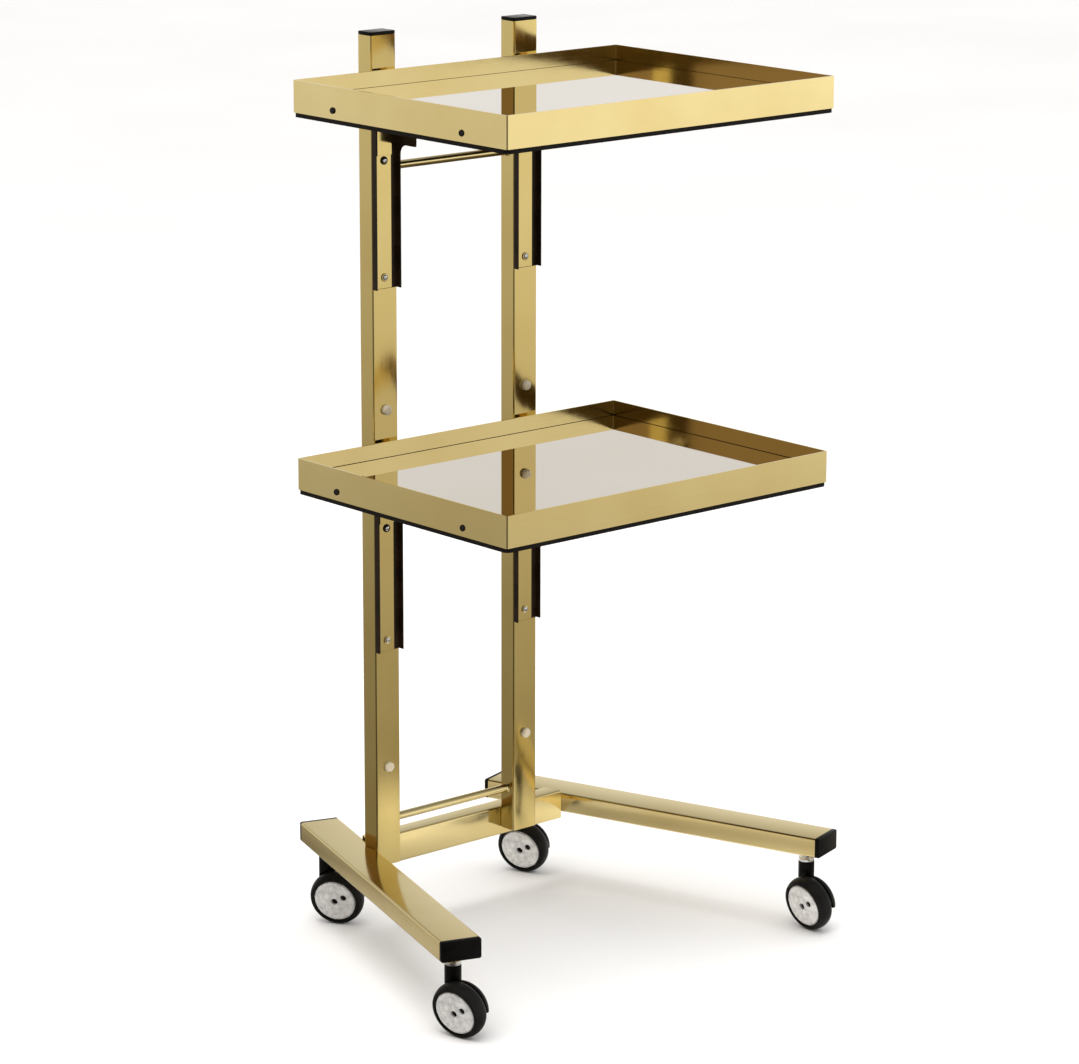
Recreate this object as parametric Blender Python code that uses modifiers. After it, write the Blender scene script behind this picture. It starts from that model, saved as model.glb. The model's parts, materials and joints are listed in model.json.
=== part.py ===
"""Rolling salon trolley: two folding mirror trays on a twin-post frame with ball casters.

Metres, +Z up, front towards -Y, origin on the floor under the middle of the trolley.
"""
import math

import bmesh
import bpy
from mathutils import Vector

MM = 0.001
GAP = 0.3 * MM                      # clearance between touching pieces

# Base: two flat rectangular tubes that splay towards the front.
LEG_WIDTH = 40 * MM
LEG_HEIGHT = 20 * MM
LEG_BOTTOM = 77 * MM
LEG_LENGTH = 385.5 * MM
LEG_REAR_PITCH = 233 * MM           # between the tubes' centrelines at the rear ends
LEG_SPLAY = math.radians(18.1)
END_CAP = 4 * MM
END_CAP_PLUG = 10 * MM
TUBE_WALL = 1.2 * MM
TUBE_RADIUS = 2 * MM

# Posts: two upright tubes, set a little to the left of the base's middle.
POST_WIDTH = 30 * MM
POST_DEPTH = 20 * MM
POST_PITCH = 176 * MM
POST_BOTTOM = 79 * MM
POST_TOP = 897 * MM
POST_FRONT = 94 * MM
POST_CAP = 3 * MM
CENTRE_X = -29.5 * MM               # middle of the posts and of both trays

CROSSBAR_BOTTOM = 70 * MM
CROSSBAR_HEIGHT = 30 * MM
CROSSBAR_DEPTH = 20 * MM
ROD_RADIUS = 4 * MM
ROD_HEIGHTS = {"upper": 768 * MM, "lower": 122.5 * MM}

# Trays: a sheet-metal band around a board with a mirror on it.
TRAY_TOPS = {"upper": 862 * MM, "lower": 506 * MM}
TRAY_WIDTH = 400 * MM
TRAY_DEPTH = 302 * MM
TRAY_FRONT = -214 * MM
BAND_HEIGHT = 30 * MM
BAND_SHEET = 1.5 * MM
MIRROR_DEPTH = 15 * MM              # from the band's top edge down to the mirror
MIRROR_GLASS = 4 * MM
BOARD_BOTTOM = 34 * MM              # below the band's top edge
BOARD_CORNER = 6 * MM
SEAM_WIDTH = 0.6 * MM
SEAM_REACH = 1.6 * MM               # diagonally in from the square corner, a groove
SEAM_CORNERS = {"upper": (-1, -1), "lower": (1, 1)}

# Tray hinges, on brackets that stand on the posts' front faces.
PIVOT_DROP = 53 * MM                # below the band's top edge
PIVOT_AHEAD = 19 * MM               # in front of the posts
PIVOT_RADIUS = 3 * MM
FLANGE_REACH = 6.4 * MM             # bracket flange in front of the post
BRACKET_SHEET = 1 * MM
BRACKET_TOP = 35.5 * MM             # below the band's top edge
BRACKET_END = 208.5 * MM
GUSSET_FRONT = 11 * MM              # in front of the pivot
GUSSET_DROP = 19 * MM               # below the pivot
GUSSET_FILLET = 9 * MM
GUSSET_SWEEP = 18 * MM              # keeps the corner inside the turning board's path
STRIP_MARGIN = 3.2 * MM             # web left open on each side of the strip
STRIP_SHEET = 0.8 * MM
STRIP_PAD = 1.2 * MM
STRIP_PAD_END = 81 * MM
SCREW_DROPS = (86 * MM, 197.5 * MM)
SCREW_RADIUS = 4 * MM
SCREW_HEAD = 2 * MM
ARM_SHEET = 3 * MM
ARM_FLANGE = 2 * MM
ARM_REACH = 60 * MM
ARM_REAR = 10 * MM
ARM_WIDTH = 20 * MM
ARM_EDGE = 4 * MM                   # its upright plate's height at the front
ARM_HAUNCH = 24 * MM                # where that edge starts to slope to the eye
EYE_RADIUS = 8 * MM
BOLT_RADIUS = 5                     # of head and nut, in millimetres
BOLT_HEAD = 3.5
BOLT_CHAMFER = 1.1
NUT_LENGTH = 5
BUMPER_DROP = 326.4 * MM
BUMPER_RADIUS = 5 * MM
BUMPER_REACH = 4.5 * MM
BUMPER_STEM = 2.8 * MM

# Ball casters: an inclined wheel under a hood that swivels on a stem.
CASTER_TILT = math.radians(12)
CASTER_TRAIL = 14 * MM
CASTER_OFFSET = 9 * MM
CASTER_INSETS = {"front": 22.5 * MM, "rear": 24.5 * MM}
CASTER_YAWS = {
    ("front", "left"): math.radians(13.5),
    ("front", "right"): math.radians(-2),
    ("rear", "left"): math.radians(31.5),
    ("rear", "right"): math.radians(22),
}
STEM_HOLE = 5.4 * MM
NECK_RADIUS = 8 * MM
NECK_TOP = 65.7 * MM
NECK_BOTTOM = 40 * MM
STEM_BORE = 3.8 * MM
STEM_BORE_END = 51.6 * MM
AXLE_RADIUS = 3 * MM
WHEEL_SPACE = 28.6                  # radius kept clear for the tyre, in millimetres
WHEEL_FACE = -9.3                   # inner side of that space along the axle
HOOD_RADIUS = 25                    # a half dome behind the wheel, in millimetres
HOOD_DEPTH = 13
HOOD_WALL = 2
HOOD_LIP = -9.6                     # where its open side stands along the axle
BOSS_RADIUS = 6
BOSS_FRONT = -8
BOSS_BACK = -21.5
AXLE_HOLE_END = -18.9
WHEEL_STEPS = 28
HOOD_STEPS = 24
NECK_STEPS = 20
PIN_STEPS = 12

# Turned profiles in millimetres: radius, then place along the axis, down the outer side.
TYRE_PROFILE = (
    (6.2, 6.5), (22, 6.5), (22.3, 8.4), (24.4, 8.75), (26.6, 6), (27.5, 1.5), (27.2, -3.5),
    (24.4, -8.75), (3.3, -8.75), (3.3, 3.8), (6.2, 3.8),
)
HUB_CAP_PROFILE = ((0, 9.3), (14, 8.9), (21.5, 7.3), (21.5, 6.8), (0, 6.8))
AXLE_PROFILE = ((0, 5.6), (5, 5.6), (5, 4.2), (3, 4.2), (3, -18.6), (0, -18.6))
STEM_PROFILE = (
    (0, 15), (5, 14), (5, -0.3), (6.8, -0.3), (6.8, -6.5), (7.8, -7),
    (7.8, -11), (3.5, -11), (3.5, -25), (0, -25),
)
POST_CAP_PLUG = 12 * MM


def wheel_centre_height():
    """Height of the wheel's centre when the lowest ring of its tread touches the floor."""
    tilt = CASTER_TILT
    return max(q * math.sin(tilt) + r * math.cos(tilt) for r, q in TYRE_PROFILE) * MM


# Scene, materials and small modelling helpers -------------------------------------------

def clear_scene():
    for old in list(bpy.data.objects):
        bpy.data.objects.remove(old, do_unlink=True)


def new_collection(name):
    collection = bpy.data.collections.new(name)
    bpy.context.scene.collection.children.link(collection)
    return collection


def new_material(name, color, roughness, metallic):
    material = bpy.data.materials.new(name)
    material.use_nodes = True
    shader = material.node_tree.nodes["Principled BSDF"]
    shader.inputs["Base Color"].default_value = (*color, 1)
    shader.inputs["Roughness"].default_value = roughness
    shader.inputs["Metallic"].default_value = metallic
    material.diffuse_color = (*color, 1)
    return material


clear_scene()
PARTS = new_collection("rolling_salon_trolley")
CUTTERS = new_collection("cutters")
GOLD = new_material("gold_steel", (0.70, 0.56, 0.30), 0.15, 1.0)
BLACK_METAL = new_material("black_painted_steel", (0.02, 0.018, 0.015), 0.4, 0.6)
BLACK_BOARD = new_material("black_board", (0.015, 0.014, 0.012), 0.5, 0.0)
MIRROR = new_material("mirror_glass", (0.85, 0.83, 0.80), 0.03, 1.0)
BLACK_PLASTIC = new_material("black_plastic", (0.02, 0.02, 0.02), 0.35, 0.0)
RUBBER = new_material("black_tyre", (0.015, 0.015, 0.015), 0.5, 0.0)
CHROME = new_material("chrome", (0.8, 0.8, 0.8), 0.08, 1.0)
SILVER = new_material("silver_hub_cap", (0.75, 0.75, 0.74), 0.25, 1.0)
PALE_PLASTIC = new_material("pale_bumper_plastic", (0.62, 0.58, 0.48), 0.5, 0.0)


def add_object(name, mesh, material, parent=None, location=(0, 0, 0), rotation=(0, 0, 0)):
    """A named part at its place in its parent's frame."""
    part = bpy.data.objects.new(name, mesh)
    PARTS.objects.link(part)
    part.parent = parent
    part.location = location
    part.rotation_euler = rotation
    mesh.materials.clear()
    mesh.materials.append(material)
    return part


def add_empty(name, location, rotation=(0, 0, 0), parent=None):
    empty = bpy.data.objects.new(name, None)
    empty.empty_display_size = 0.02
    PARTS.objects.link(empty)
    empty.parent = parent
    empty.location = location
    empty.rotation_euler = rotation
    return empty


def as_tool(part):
    """Moves a piece to the cutters, where it only shapes another piece."""
    PARTS.objects.unlink(part)
    CUTTERS.objects.link(part)
    part.hide_render = True
    part.display_type = "WIRE"
    return part


def combine(part, tool, operation):
    boolean = part.modifiers.new(f"{operation.lower()}_{tool.name}", "BOOLEAN")
    boolean.operation = operation
    boolean.solver = "EXACT"
    boolean.object = as_tool(tool)


def cut(part, tool):
    combine(part, tool, "DIFFERENCE")


def join(part, tool):
    combine(part, tool, "UNION")


def bevel(part, width, segments=1):
    modifier = part.modifiers.new("rounded_edges", "BEVEL")
    modifier.width = width
    modifier.segments = segments
    modifier.limit_method = "ANGLE"
    modifier.harden_normals = False


def mesh_from_bmesh(name, shape):
    mesh = bpy.data.meshes.new(name)
    shape.to_mesh(mesh)
    shape.free()
    return mesh


def box_mesh(name, size, centre=(0, 0, 0)):
    shape = bmesh.new()
    bmesh.ops.create_cube(shape, size=1)
    bmesh.ops.scale(shape, vec=size, verts=shape.verts)
    bmesh.ops.translate(shape, vec=centre, verts=shape.verts)
    return mesh_from_bmesh(name, shape)


def cylinder_mesh(name, radius, length, steps, centre=(0, 0, 0)):
    """A capped cylinder along Z."""
    shape = bmesh.new()
    bmesh.ops.create_cone(
        shape, cap_ends=True, segments=steps, radius1=radius, radius2=radius, depth=length)
    bmesh.ops.translate(shape, vec=centre, verts=shape.verts)
    return mesh_from_bmesh(name, shape)


def arc(centre, radius, start, end, steps):
    """Points on an arc, with its angles in degrees."""
    points = []
    for step in range(steps + 1):
        angle = math.radians(start + (end - start) * step / steps)
        points.append((centre[0] + radius * math.cos(angle), centre[1] + radius * math.sin(angle)))
    return points


def rounded_rectangle(width, depth, radius, steps=3):
    points = []
    corners = ((1, 1, 0), (-1, 1, 90), (-1, -1, 180), (1, -1, 270))
    for side_x, side_y, start in corners:
        centre = (side_x * (width / 2 - radius), side_y * (depth / 2 - radius))
        points += arc(centre, radius, start, start + 90, steps)
    return points


def rectangle(width, depth):
    return [(width / 2, depth / 2), (-width / 2, depth / 2),
            (-width / 2, -depth / 2), (width / 2, -depth / 2)]


def extruded(name, loops, thickness):
    """The mesh of flat outlines, holes included, extruded evenly about the XY plane."""
    curve = bpy.data.curves.new(name, "CURVE")
    curve.dimensions = "2D"
    curve.fill_mode = "BOTH"
    curve.extrude = thickness / 2
    for loop in loops:
        spline = curve.splines.new("POLY")
        spline.points.add(len(loop) - 1)
        for point, (x, y) in zip(spline.points, loop):
            point.co = (x, y, 0, 1)
        spline.use_cyclic_u = True
    outline = bpy.data.objects.new(name, curve)
    CUTTERS.objects.link(outline)
    depsgraph = bpy.context.evaluated_depsgraph_get()
    mesh = bpy.data.meshes.new_from_object(outline.evaluated_get(depsgraph))
    bpy.data.objects.remove(outline, do_unlink=True)
    shape = bmesh.new()
    shape.from_mesh(mesh)
    bmesh.ops.remove_doubles(shape, verts=shape.verts, dist=1e-6)
    bmesh.ops.recalc_face_normals(shape, faces=shape.faces)
    shape.to_mesh(mesh)
    shape.free()
    return mesh


def tube_mesh(name, width, depth, length):
    """A rectangular tube along Z, open at both ends, with rounded outer corners."""
    outer = rounded_rectangle(width, depth, TUBE_RADIUS)
    inner = rectangle(width - 2 * TUBE_WALL, depth - 2 * TUBE_WALL)
    return extruded(name, [outer, inner], length)


def plug_cap_mesh(name, width, depth, thickness, plug):
    """A tube's end cap along Z: a slab over the end, and a plug that fits inside the tube."""
    inset = TUBE_WALL + GAP
    shape = bmesh.new()
    bmesh.ops.create_cube(shape, size=1)
    bmesh.ops.scale(shape, vec=(width, depth, thickness), verts=shape.verts)
    bmesh.ops.translate(shape, vec=(0, 0, thickness / 2), verts=shape.verts)
    bottom = min(shape.faces, key=lambda face: face.calc_center_median().z)
    bmesh.ops.inset_region(shape, faces=[bottom], thickness=inset, use_even_offset=True)
    pushed = bmesh.ops.extrude_face_region(shape, geom=[bottom])
    lowered = [item for item in pushed["geom"] if isinstance(item, bmesh.types.BMVert)]
    bmesh.ops.translate(shape, vec=(0, 0, -plug), verts=lowered)
    bmesh.ops.delete(shape, geom=[bottom], context="FACES_ONLY")
    bmesh.ops.recalc_face_normals(shape, faces=shape.faces)
    return mesh_from_bmesh(name, shape)


def turned(name, profile, steps, material, parent=None, location=(0, 0, 0), rotation=(0, 0, 0)):
    """A piece turned about its local Z from a profile in millimetres."""
    mesh = bpy.data.meshes.new(name)
    points = [(radius * MM, 0, height * MM) for radius, height in profile]
    edges = [(index, index + 1) for index in range(len(points) - 1)]
    closed_ring = profile[0][0] > 0
    if closed_ring:
        edges.append((len(points) - 1, 0))
    mesh.from_pydata(points, edges, [])
    part = add_object(name, mesh, material, parent, location, rotation)
    screw = part.modifiers.new("turned", "SCREW")
    screw.axis = "Z"
    screw.steps = steps
    screw.render_steps = steps
    screw.use_merge_vertices = True
    screw.merge_threshold = 0.00001
    screw.use_smooth_shade = True
    return part


# Base -----------------------------------------------------------------------------------

SIDES = {"left": -1, "right": 1}
LEG_ROTATION_X = math.radians(90)   # turns a tube made along Z to run towards the front
LEG_REAR_Y = -TRAY_FRONT - LEG_WIDTH / 2 * math.sin(LEG_SPLAY)


def leg_point(side, distance, height):
    """A point on a leg's centreline, measured from its rear end."""
    sign = SIDES[side]
    x = sign * (LEG_REAR_PITCH / 2 + distance * math.sin(LEG_SPLAY))
    y = LEG_REAR_Y - distance * math.cos(LEG_SPLAY)
    return Vector((x, y, height))


def leg_rotation(side):
    return (LEG_ROTATION_X, 0, SIDES[side] * LEG_SPLAY)


def caster_place(end, side):
    inset = CASTER_INSETS[end]
    distance = inset if end == "rear" else LEG_LENGTH - inset
    return leg_point(side, distance, LEG_BOTTOM)


def build_leg(side):
    tube_length = LEG_LENGTH - 2 * (END_CAP + GAP)
    mesh = tube_mesh(f"leg_{side}", LEG_WIDTH, LEG_HEIGHT, tube_length)
    middle = leg_point(side, LEG_LENGTH / 2, LEG_BOTTOM + LEG_HEIGHT / 2)
    leg = add_object(f"leg_{side}", mesh, GOLD, None, middle, leg_rotation(side))
    for end in CASTER_INSETS:
        place = caster_place(end, side)
        name = f"stem_hole_{end}_{side}"
        hole = cylinder_mesh(name, STEM_HOLE, 3 * TUBE_WALL, 16)
        cut(leg, add_object(name, hole, GOLD, None, place))


def build_leg_caps(side):
    for end in CASTER_INSETS:
        name = f"leg_cap_{end}_{side}"
        mesh = plug_cap_mesh(name, LEG_WIDTH, LEG_HEIGHT, END_CAP, END_CAP_PLUG)
        distance = LEG_LENGTH - END_CAP if end == "front" else END_CAP
        place = leg_point(side, distance, LEG_BOTTOM + LEG_HEIGHT / 2)
        turn = 0 if end == "front" else math.pi
        rotation = (LEG_ROTATION_X, 0, SIDES[side] * LEG_SPLAY + turn)
        cap = add_object(name, mesh, BLACK_PLASTIC, None, place, rotation)
        bevel(cap, 0.6 * MM)


def leg_clearance(name, side, height):
    """A long block that fills a leg and everything beyond it, for trimming its neighbours."""
    reach = 100 * MM
    width = LEG_WIDTH / 2 + GAP + reach
    centre_x = SIDES[side] * (reach - LEG_WIDTH / 2 - GAP) / 2
    mesh = box_mesh(name, (width, height, LEG_LENGTH), (centre_x, 0, 0))
    middle = leg_point(side, LEG_LENGTH / 2, LEG_BOTTOM + LEG_HEIGHT / 2)
    return add_object(name, mesh, GOLD, None, middle, leg_rotation(side))


def build_crossbar():
    """The tube between the legs that carries the posts, trimmed along both legs."""
    spare = 100 * MM                    # past both legs, before the trimming
    length = 2 * leg_point("right", 0, 0).x + spare
    mesh = tube_mesh("crossbar", CROSSBAR_HEIGHT, CROSSBAR_DEPTH, length)
    middle_y = POST_FRONT + POST_DEPTH + GAP + CROSSBAR_DEPTH / 2
    middle = (0, middle_y, CROSSBAR_BOTTOM + CROSSBAR_HEIGHT / 2)
    bar = add_object("crossbar", mesh, GOLD, None, middle, (0, math.radians(90), 0))
    for side in SIDES:
        cut(bar, leg_clearance(f"crossbar_trim_{side}", side, 2 * LEG_HEIGHT))


# Posts ----------------------------------------------------------------------------------

def post_x(side):
    return CENTRE_X + SIDES[side] * POST_PITCH / 2


def build_post(side):
    length = POST_TOP - POST_CAP - GAP - POST_BOTTOM
    mesh = tube_mesh(f"post_{side}", POST_WIDTH, POST_DEPTH, length)
    middle = (post_x(side), POST_FRONT + POST_DEPTH / 2, POST_BOTTOM + length / 2)
    post = add_object(f"post_{side}", mesh, GOLD, None, middle)
    if side == "left":
        cut(post, leg_clearance("post_trim_left", side, LEG_HEIGHT + 2 * GAP))
    for level, tray_top in TRAY_TOPS.items():
        name = f"bumper_hole_{level}_{side}"
        hole = cylinder_mesh(name, BUMPER_STEM + GAP, 3 * TUBE_WALL, 10)
        place = (post_x(side), POST_FRONT, tray_top - BUMPER_DROP)
        cut(post, add_object(name, hole, GOLD, None, place, (math.radians(90), 0, 0)))


def build_post_cap(side):
    name = f"post_cap_{side}"
    mesh = plug_cap_mesh(name, POST_WIDTH, POST_DEPTH, POST_CAP, POST_CAP_PLUG)
    place = (post_x(side), POST_FRONT + POST_DEPTH / 2, POST_TOP - POST_CAP)
    cap = add_object(name, mesh, BLACK_PLASTIC, None, place)
    bevel(cap, 0.6 * MM)


def build_cross_rod(level):
    length = POST_PITCH - POST_WIDTH - 2 * GAP
    name = f"cross_rod_{level}"
    mesh = cylinder_mesh(name, ROD_RADIUS, length, 16)
    place = (CENTRE_X, POST_FRONT + POST_DEPTH / 2, ROD_HEIGHTS[level])
    rod = add_object(name, mesh, GOLD, None, place, (0, math.radians(90), 0))
    rod.data.shade_smooth()
    rod.data.set_sharp_from_angle(angle=math.radians(40))


def build_bumper(level, side):
    """A round stop that the folded tray's board leans on, pushed into the post's front wall."""
    reach = BUMPER_REACH / MM
    radius = BUMPER_RADIUS / MM
    stem = BUMPER_STEM / MM
    gap = GAP / MM
    profile = (
        (0, reach), (radius * 0.7, reach - 0.2), (radius, reach - 1.6), (radius, gap),
        (stem, gap), (stem, -4), (0, -4),
    )
    place = (post_x(side), POST_FRONT, TRAY_TOPS[level] - BUMPER_DROP)
    turned(f"bumper_{level}_{side}", profile, PIN_STEPS, PALE_PLASTIC, None, place,
           (math.radians(90), 0, 0))


# Trays ----------------------------------------------------------------------------------
# Each tray is made around an empty on its fold axis, so heights here are from the pivot.

def build_tray_band(level, pivot, middle_y):
    name = f"{level}_tray_band"
    outer = rounded_rectangle(TRAY_WIDTH, TRAY_DEPTH, 2 * MM)
    inner = rounded_rectangle(TRAY_WIDTH - 2 * BAND_SHEET, TRAY_DEPTH - 2 * BAND_SHEET, 0.7 * MM)
    mesh = extruded(name, [outer, inner], BAND_HEIGHT)
    height = PIVOT_DROP - BAND_HEIGHT / 2
    band = add_object(name, mesh, GOLD, pivot, (0, middle_y, height))
    side_x, side_y = SEAM_CORNERS[level]
    corner = (side_x * TRAY_WIDTH / 2, middle_y + side_y * TRAY_DEPTH / 2, height)
    seam = box_mesh(f"{level}_band_seam", (SEAM_WIDTH, 2 * SEAM_REACH, BAND_HEIGHT * 1.2))
    angle = math.radians(-45 * side_x * side_y)
    cut(band, add_object(f"{level}_band_seam", seam, GOLD, pivot, corner, (0, 0, angle)))


def build_tray_floor(level, pivot, middle_y):
    """The mirror, and the black board under it, whose lip shows below the band."""
    inset = 2 * (BAND_SHEET + GAP)
    width = TRAY_WIDTH - inset
    depth = TRAY_DEPTH - inset
    glass = extruded(f"{level}_tray_mirror", [rounded_rectangle(width, depth, 2 * MM)], MIRROR_GLASS)
    glass_height = PIVOT_DROP - MIRROR_DEPTH - MIRROR_GLASS / 2
    add_object(f"{level}_tray_mirror", glass, MIRROR, pivot, (0, middle_y, glass_height))
    lip_overlap = 1 * MM                # how far the core stops above the lip's underside
    core_thickness = BOARD_BOTTOM - lip_overlap - MIRROR_DEPTH - MIRROR_GLASS - GAP
    core = extruded(f"{level}_tray_board", [rounded_rectangle(width, depth, 2 * MM)], core_thickness)
    core_height = PIVOT_DROP - BOARD_BOTTOM + lip_overlap + core_thickness / 2
    board = add_object(f"{level}_tray_board", core, BLACK_BOARD, pivot, (0, middle_y, core_height))
    lip_thickness = BOARD_BOTTOM - BAND_HEIGHT - GAP
    outline = rounded_rectangle(TRAY_WIDTH, TRAY_DEPTH, BOARD_CORNER, 4)
    lip = extruded(f"{level}_board_lip", [outline], lip_thickness)
    lip_height = PIVOT_DROP - BOARD_BOTTOM + lip_thickness / 2
    join(board, add_object(f"{level}_board_lip", lip, BLACK_BOARD, pivot,
                           (0, middle_y, lip_height)))


PLATE_ROTATION = (math.radians(90), 0, math.radians(90))   # outline's X and Y become Y and Z


def build_hinge_arm(level, side, pivot):
    """An angle under the board, whose upright plate turns on the pivot bolt."""
    sign = SIDES[side]
    name = f"{level}_hinge_arm_{side}"
    board_bottom = PIVOT_DROP - BOARD_BOTTOM - GAP
    eye = arc((0, 0), EYE_RADIUS, 180, 360, 8)
    outline = eye + [(ARM_REAR, board_bottom), (-ARM_REACH, board_bottom),
                     (-ARM_REACH, board_bottom - ARM_EDGE), (-ARM_HAUNCH, board_bottom - ARM_EDGE)]
    hole = arc((0, 0), PIVOT_RADIUS + GAP, 0, 324, 9)
    plate = extruded(name, [outline, hole], ARM_SHEET)
    outer_face = POST_PITCH / 2 - POST_WIDTH / 2 - GAP
    plate_x = sign * (outer_face - ARM_SHEET / 2)
    arm = add_object(name, plate, BLACK_METAL, pivot, (plate_x, 0, 0), PLATE_ROTATION)
    overlap = 1 * MM                    # the flange starts and ends this far inside the plate
    length = ARM_REACH + ARM_REAR - 2 * overlap
    flange = box_mesh(f"{name}_flange", (ARM_WIDTH - overlap, length, ARM_FLANGE))
    flange_x = sign * (outer_face - (ARM_WIDTH + overlap) / 2)
    flange_z = board_bottom - 0.1 * MM - ARM_FLANGE / 2
    place = (flange_x, (ARM_REAR - ARM_REACH) / 2, flange_z)
    join(arm, add_object(f"{name}_flange", flange, BLACK_METAL, pivot, place))


def build_tray(level):
    pivot_y = POST_FRONT - PIVOT_AHEAD
    pivot = add_empty(f"{level}_tray_pivot", (CENTRE_X, pivot_y, TRAY_TOPS[level] - PIVOT_DROP))
    middle_y = TRAY_FRONT + TRAY_DEPTH / 2 - pivot_y
    build_tray_band(level, pivot, middle_y)
    build_tray_floor(level, pivot, middle_y)
    for side in SIDES:
        build_hinge_arm(level, side, pivot)


# Brackets -------------------------------------------------------------------------------

def gusset_outline():
    """The inner flange and its gusset, seen from the side, around the pivot."""
    overhang = 0.2 * MM                 # past the web it is joined to, at the back and the ends
    back = PIVOT_AHEAD - GAP - overhang
    tip = PIVOT_AHEAD - FLANGE_REACH
    top = PIVOT_DROP - BRACKET_TOP + overhang
    bottom = PIVOT_DROP - BRACKET_END - overhang
    fillet = (tip - GUSSET_FILLET, -GUSSET_DROP - GUSSET_FILLET)
    nose = 1.5 * MM
    corner = (-GUSSET_FRONT + nose, -GUSSET_DROP + nose)
    first = math.degrees(math.atan2(top, math.sqrt(GUSSET_SWEEP ** 2 - top ** 2)))
    last = math.degrees(math.acos(GUSSET_FRONT / GUSSET_SWEEP))
    outline = [(back, top), (back, bottom), (tip, bottom)]
    outline += arc(fillet, GUSSET_FILLET, 0, 90, 5)
    outline += arc(corner, nose, 270, 180, 2)
    outline += [(-x, y) for x, y in arc((0, 0), GUSSET_SWEEP, last, first, 4)]
    return outline


def build_bracket(level, side):
    """A channel on the post: a back web, a plain outer flange, and a flange with a gusset."""
    sign = SIDES[side]
    name = f"bracket_{level}_{side}"
    pivot_height = TRAY_TOPS[level] - PIVOT_DROP
    pivot_y = POST_FRONT - PIVOT_AHEAD
    inner_x = post_x(side) - sign * (POST_WIDTH - BRACKET_SHEET) / 2
    bolt_hole = arc((0, 0), PIVOT_RADIUS + GAP, 0, 324, 9)
    plate = extruded(name, [gusset_outline(), bolt_hole], BRACKET_SHEET)
    bracket = add_object(name, plate, BLACK_METAL, None, (inner_x, pivot_y, pivot_height),
                         PLATE_ROTATION)
    angle = extruded(f"{name}_angle", [bracket_angle_outline(sign)], BRACKET_END - BRACKET_TOP)
    middle_z = TRAY_TOPS[level] - (BRACKET_TOP + BRACKET_END) / 2
    place = (post_x(side), POST_FRONT - GAP, middle_z)
    join(bracket, add_object(f"{name}_angle", angle, BLACK_METAL, None, place))


def bracket_angle_outline(sign):
    """The web and the plain flange in plan, with the web's end inside the gusset plate."""
    edge = POST_WIDTH / 2
    sheet = BRACKET_SHEET
    web_end = -edge + sheet / 2
    tip = -FLANGE_REACH + GAP
    points = [(web_end, 0), (edge, 0), (edge, tip), (edge - sheet, tip),
              (edge - sheet, -sheet), (web_end, -sheet)]
    return [(sign * x, y) for x, y in points]


def build_bracket_strip(level, side):
    """The bright strip inside the channel, thicker at its top, with its two screw heads."""
    name = f"bracket_strip_{level}_{side}"
    tray_top = TRAY_TOPS[level]
    width = POST_WIDTH - 2 * (BRACKET_SHEET + STRIP_MARGIN)
    end_gap = 0.5 * MM
    back = POST_FRONT - BRACKET_SHEET - 2 * GAP
    front = back - STRIP_SHEET
    height = BRACKET_END - BRACKET_TOP - 2 * end_gap
    middle_z = tray_top - (BRACKET_TOP + BRACKET_END) / 2
    plate = box_mesh(name, (width, STRIP_SHEET, height))
    strip = add_object(name, plate, GOLD, None, (post_x(side), (front + back) / 2, middle_z))
    pad_height = STRIP_PAD_END - BRACKET_TOP - end_gap
    pad_depth = STRIP_PAD + STRIP_SHEET / 2
    pad = box_mesh(f"{name}_pad", (width, pad_depth, pad_height))
    pad_z = tray_top - BRACKET_TOP - end_gap - pad_height / 2
    pad_y = front - STRIP_PAD + pad_depth / 2
    join(strip, add_object(f"{name}_pad", pad, GOLD, None, (post_x(side), pad_y, pad_z)))
    for number, drop in enumerate(SCREW_DROPS):
        head_name = f"{name}_screw_{number}"
        head_depth = SCREW_HEAD + STRIP_SHEET / 2
        head = cylinder_mesh(head_name, SCREW_RADIUS, head_depth, 16)
        place = (post_x(side), front - SCREW_HEAD + head_depth / 2, tray_top - drop)
        join(strip, add_object(head_name, head, GOLD, None, place, (math.radians(90), 0, 0)))


def build_pivot_bolt(level, side):
    """The hinge's bolt with its lock nut: head outside the gusset, nut inside the arm."""
    gap = GAP / MM
    post_edge = (POST_PITCH - POST_WIDTH) / 2 / MM
    sheet = BRACKET_SHEET / MM
    arm = ARM_SHEET / MM
    radius = PIVOT_RADIUS / MM
    head = post_edge + sheet + gap
    top = head + BOLT_HEAD
    nut = post_edge - gap - arm - gap
    profile = (
        (0, top), (BOLT_RADIUS - 1.5, top), (BOLT_RADIUS, top - BOLT_CHAMFER), (BOLT_RADIUS, head),
        (radius, head), (radius, nut), (BOLT_RADIUS, nut), (BOLT_RADIUS, nut - NUT_LENGTH),
        (0, nut - NUT_LENGTH),
    )
    place = (CENTRE_X, POST_FRONT - PIVOT_AHEAD, TRAY_TOPS[level] - PIVOT_DROP)
    turned(f"pivot_bolt_{level}_{side}", profile, PIN_STEPS, CHROME, None, place,
           (0, SIDES[side] * math.radians(90), 0))


# Casters --------------------------------------------------------------------------------

def dome_profile(radius, depth, angles):
    """Half of a dome from its lip to its pole, in millimetres, with its angles in degrees."""
    points = []
    for angle in angles:
        turn = math.radians(angle)
        points.append((radius * math.cos(turn), HOOD_LIP - depth * math.sin(turn)))
    return points + [(0, HOOD_LIP - depth)]


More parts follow.
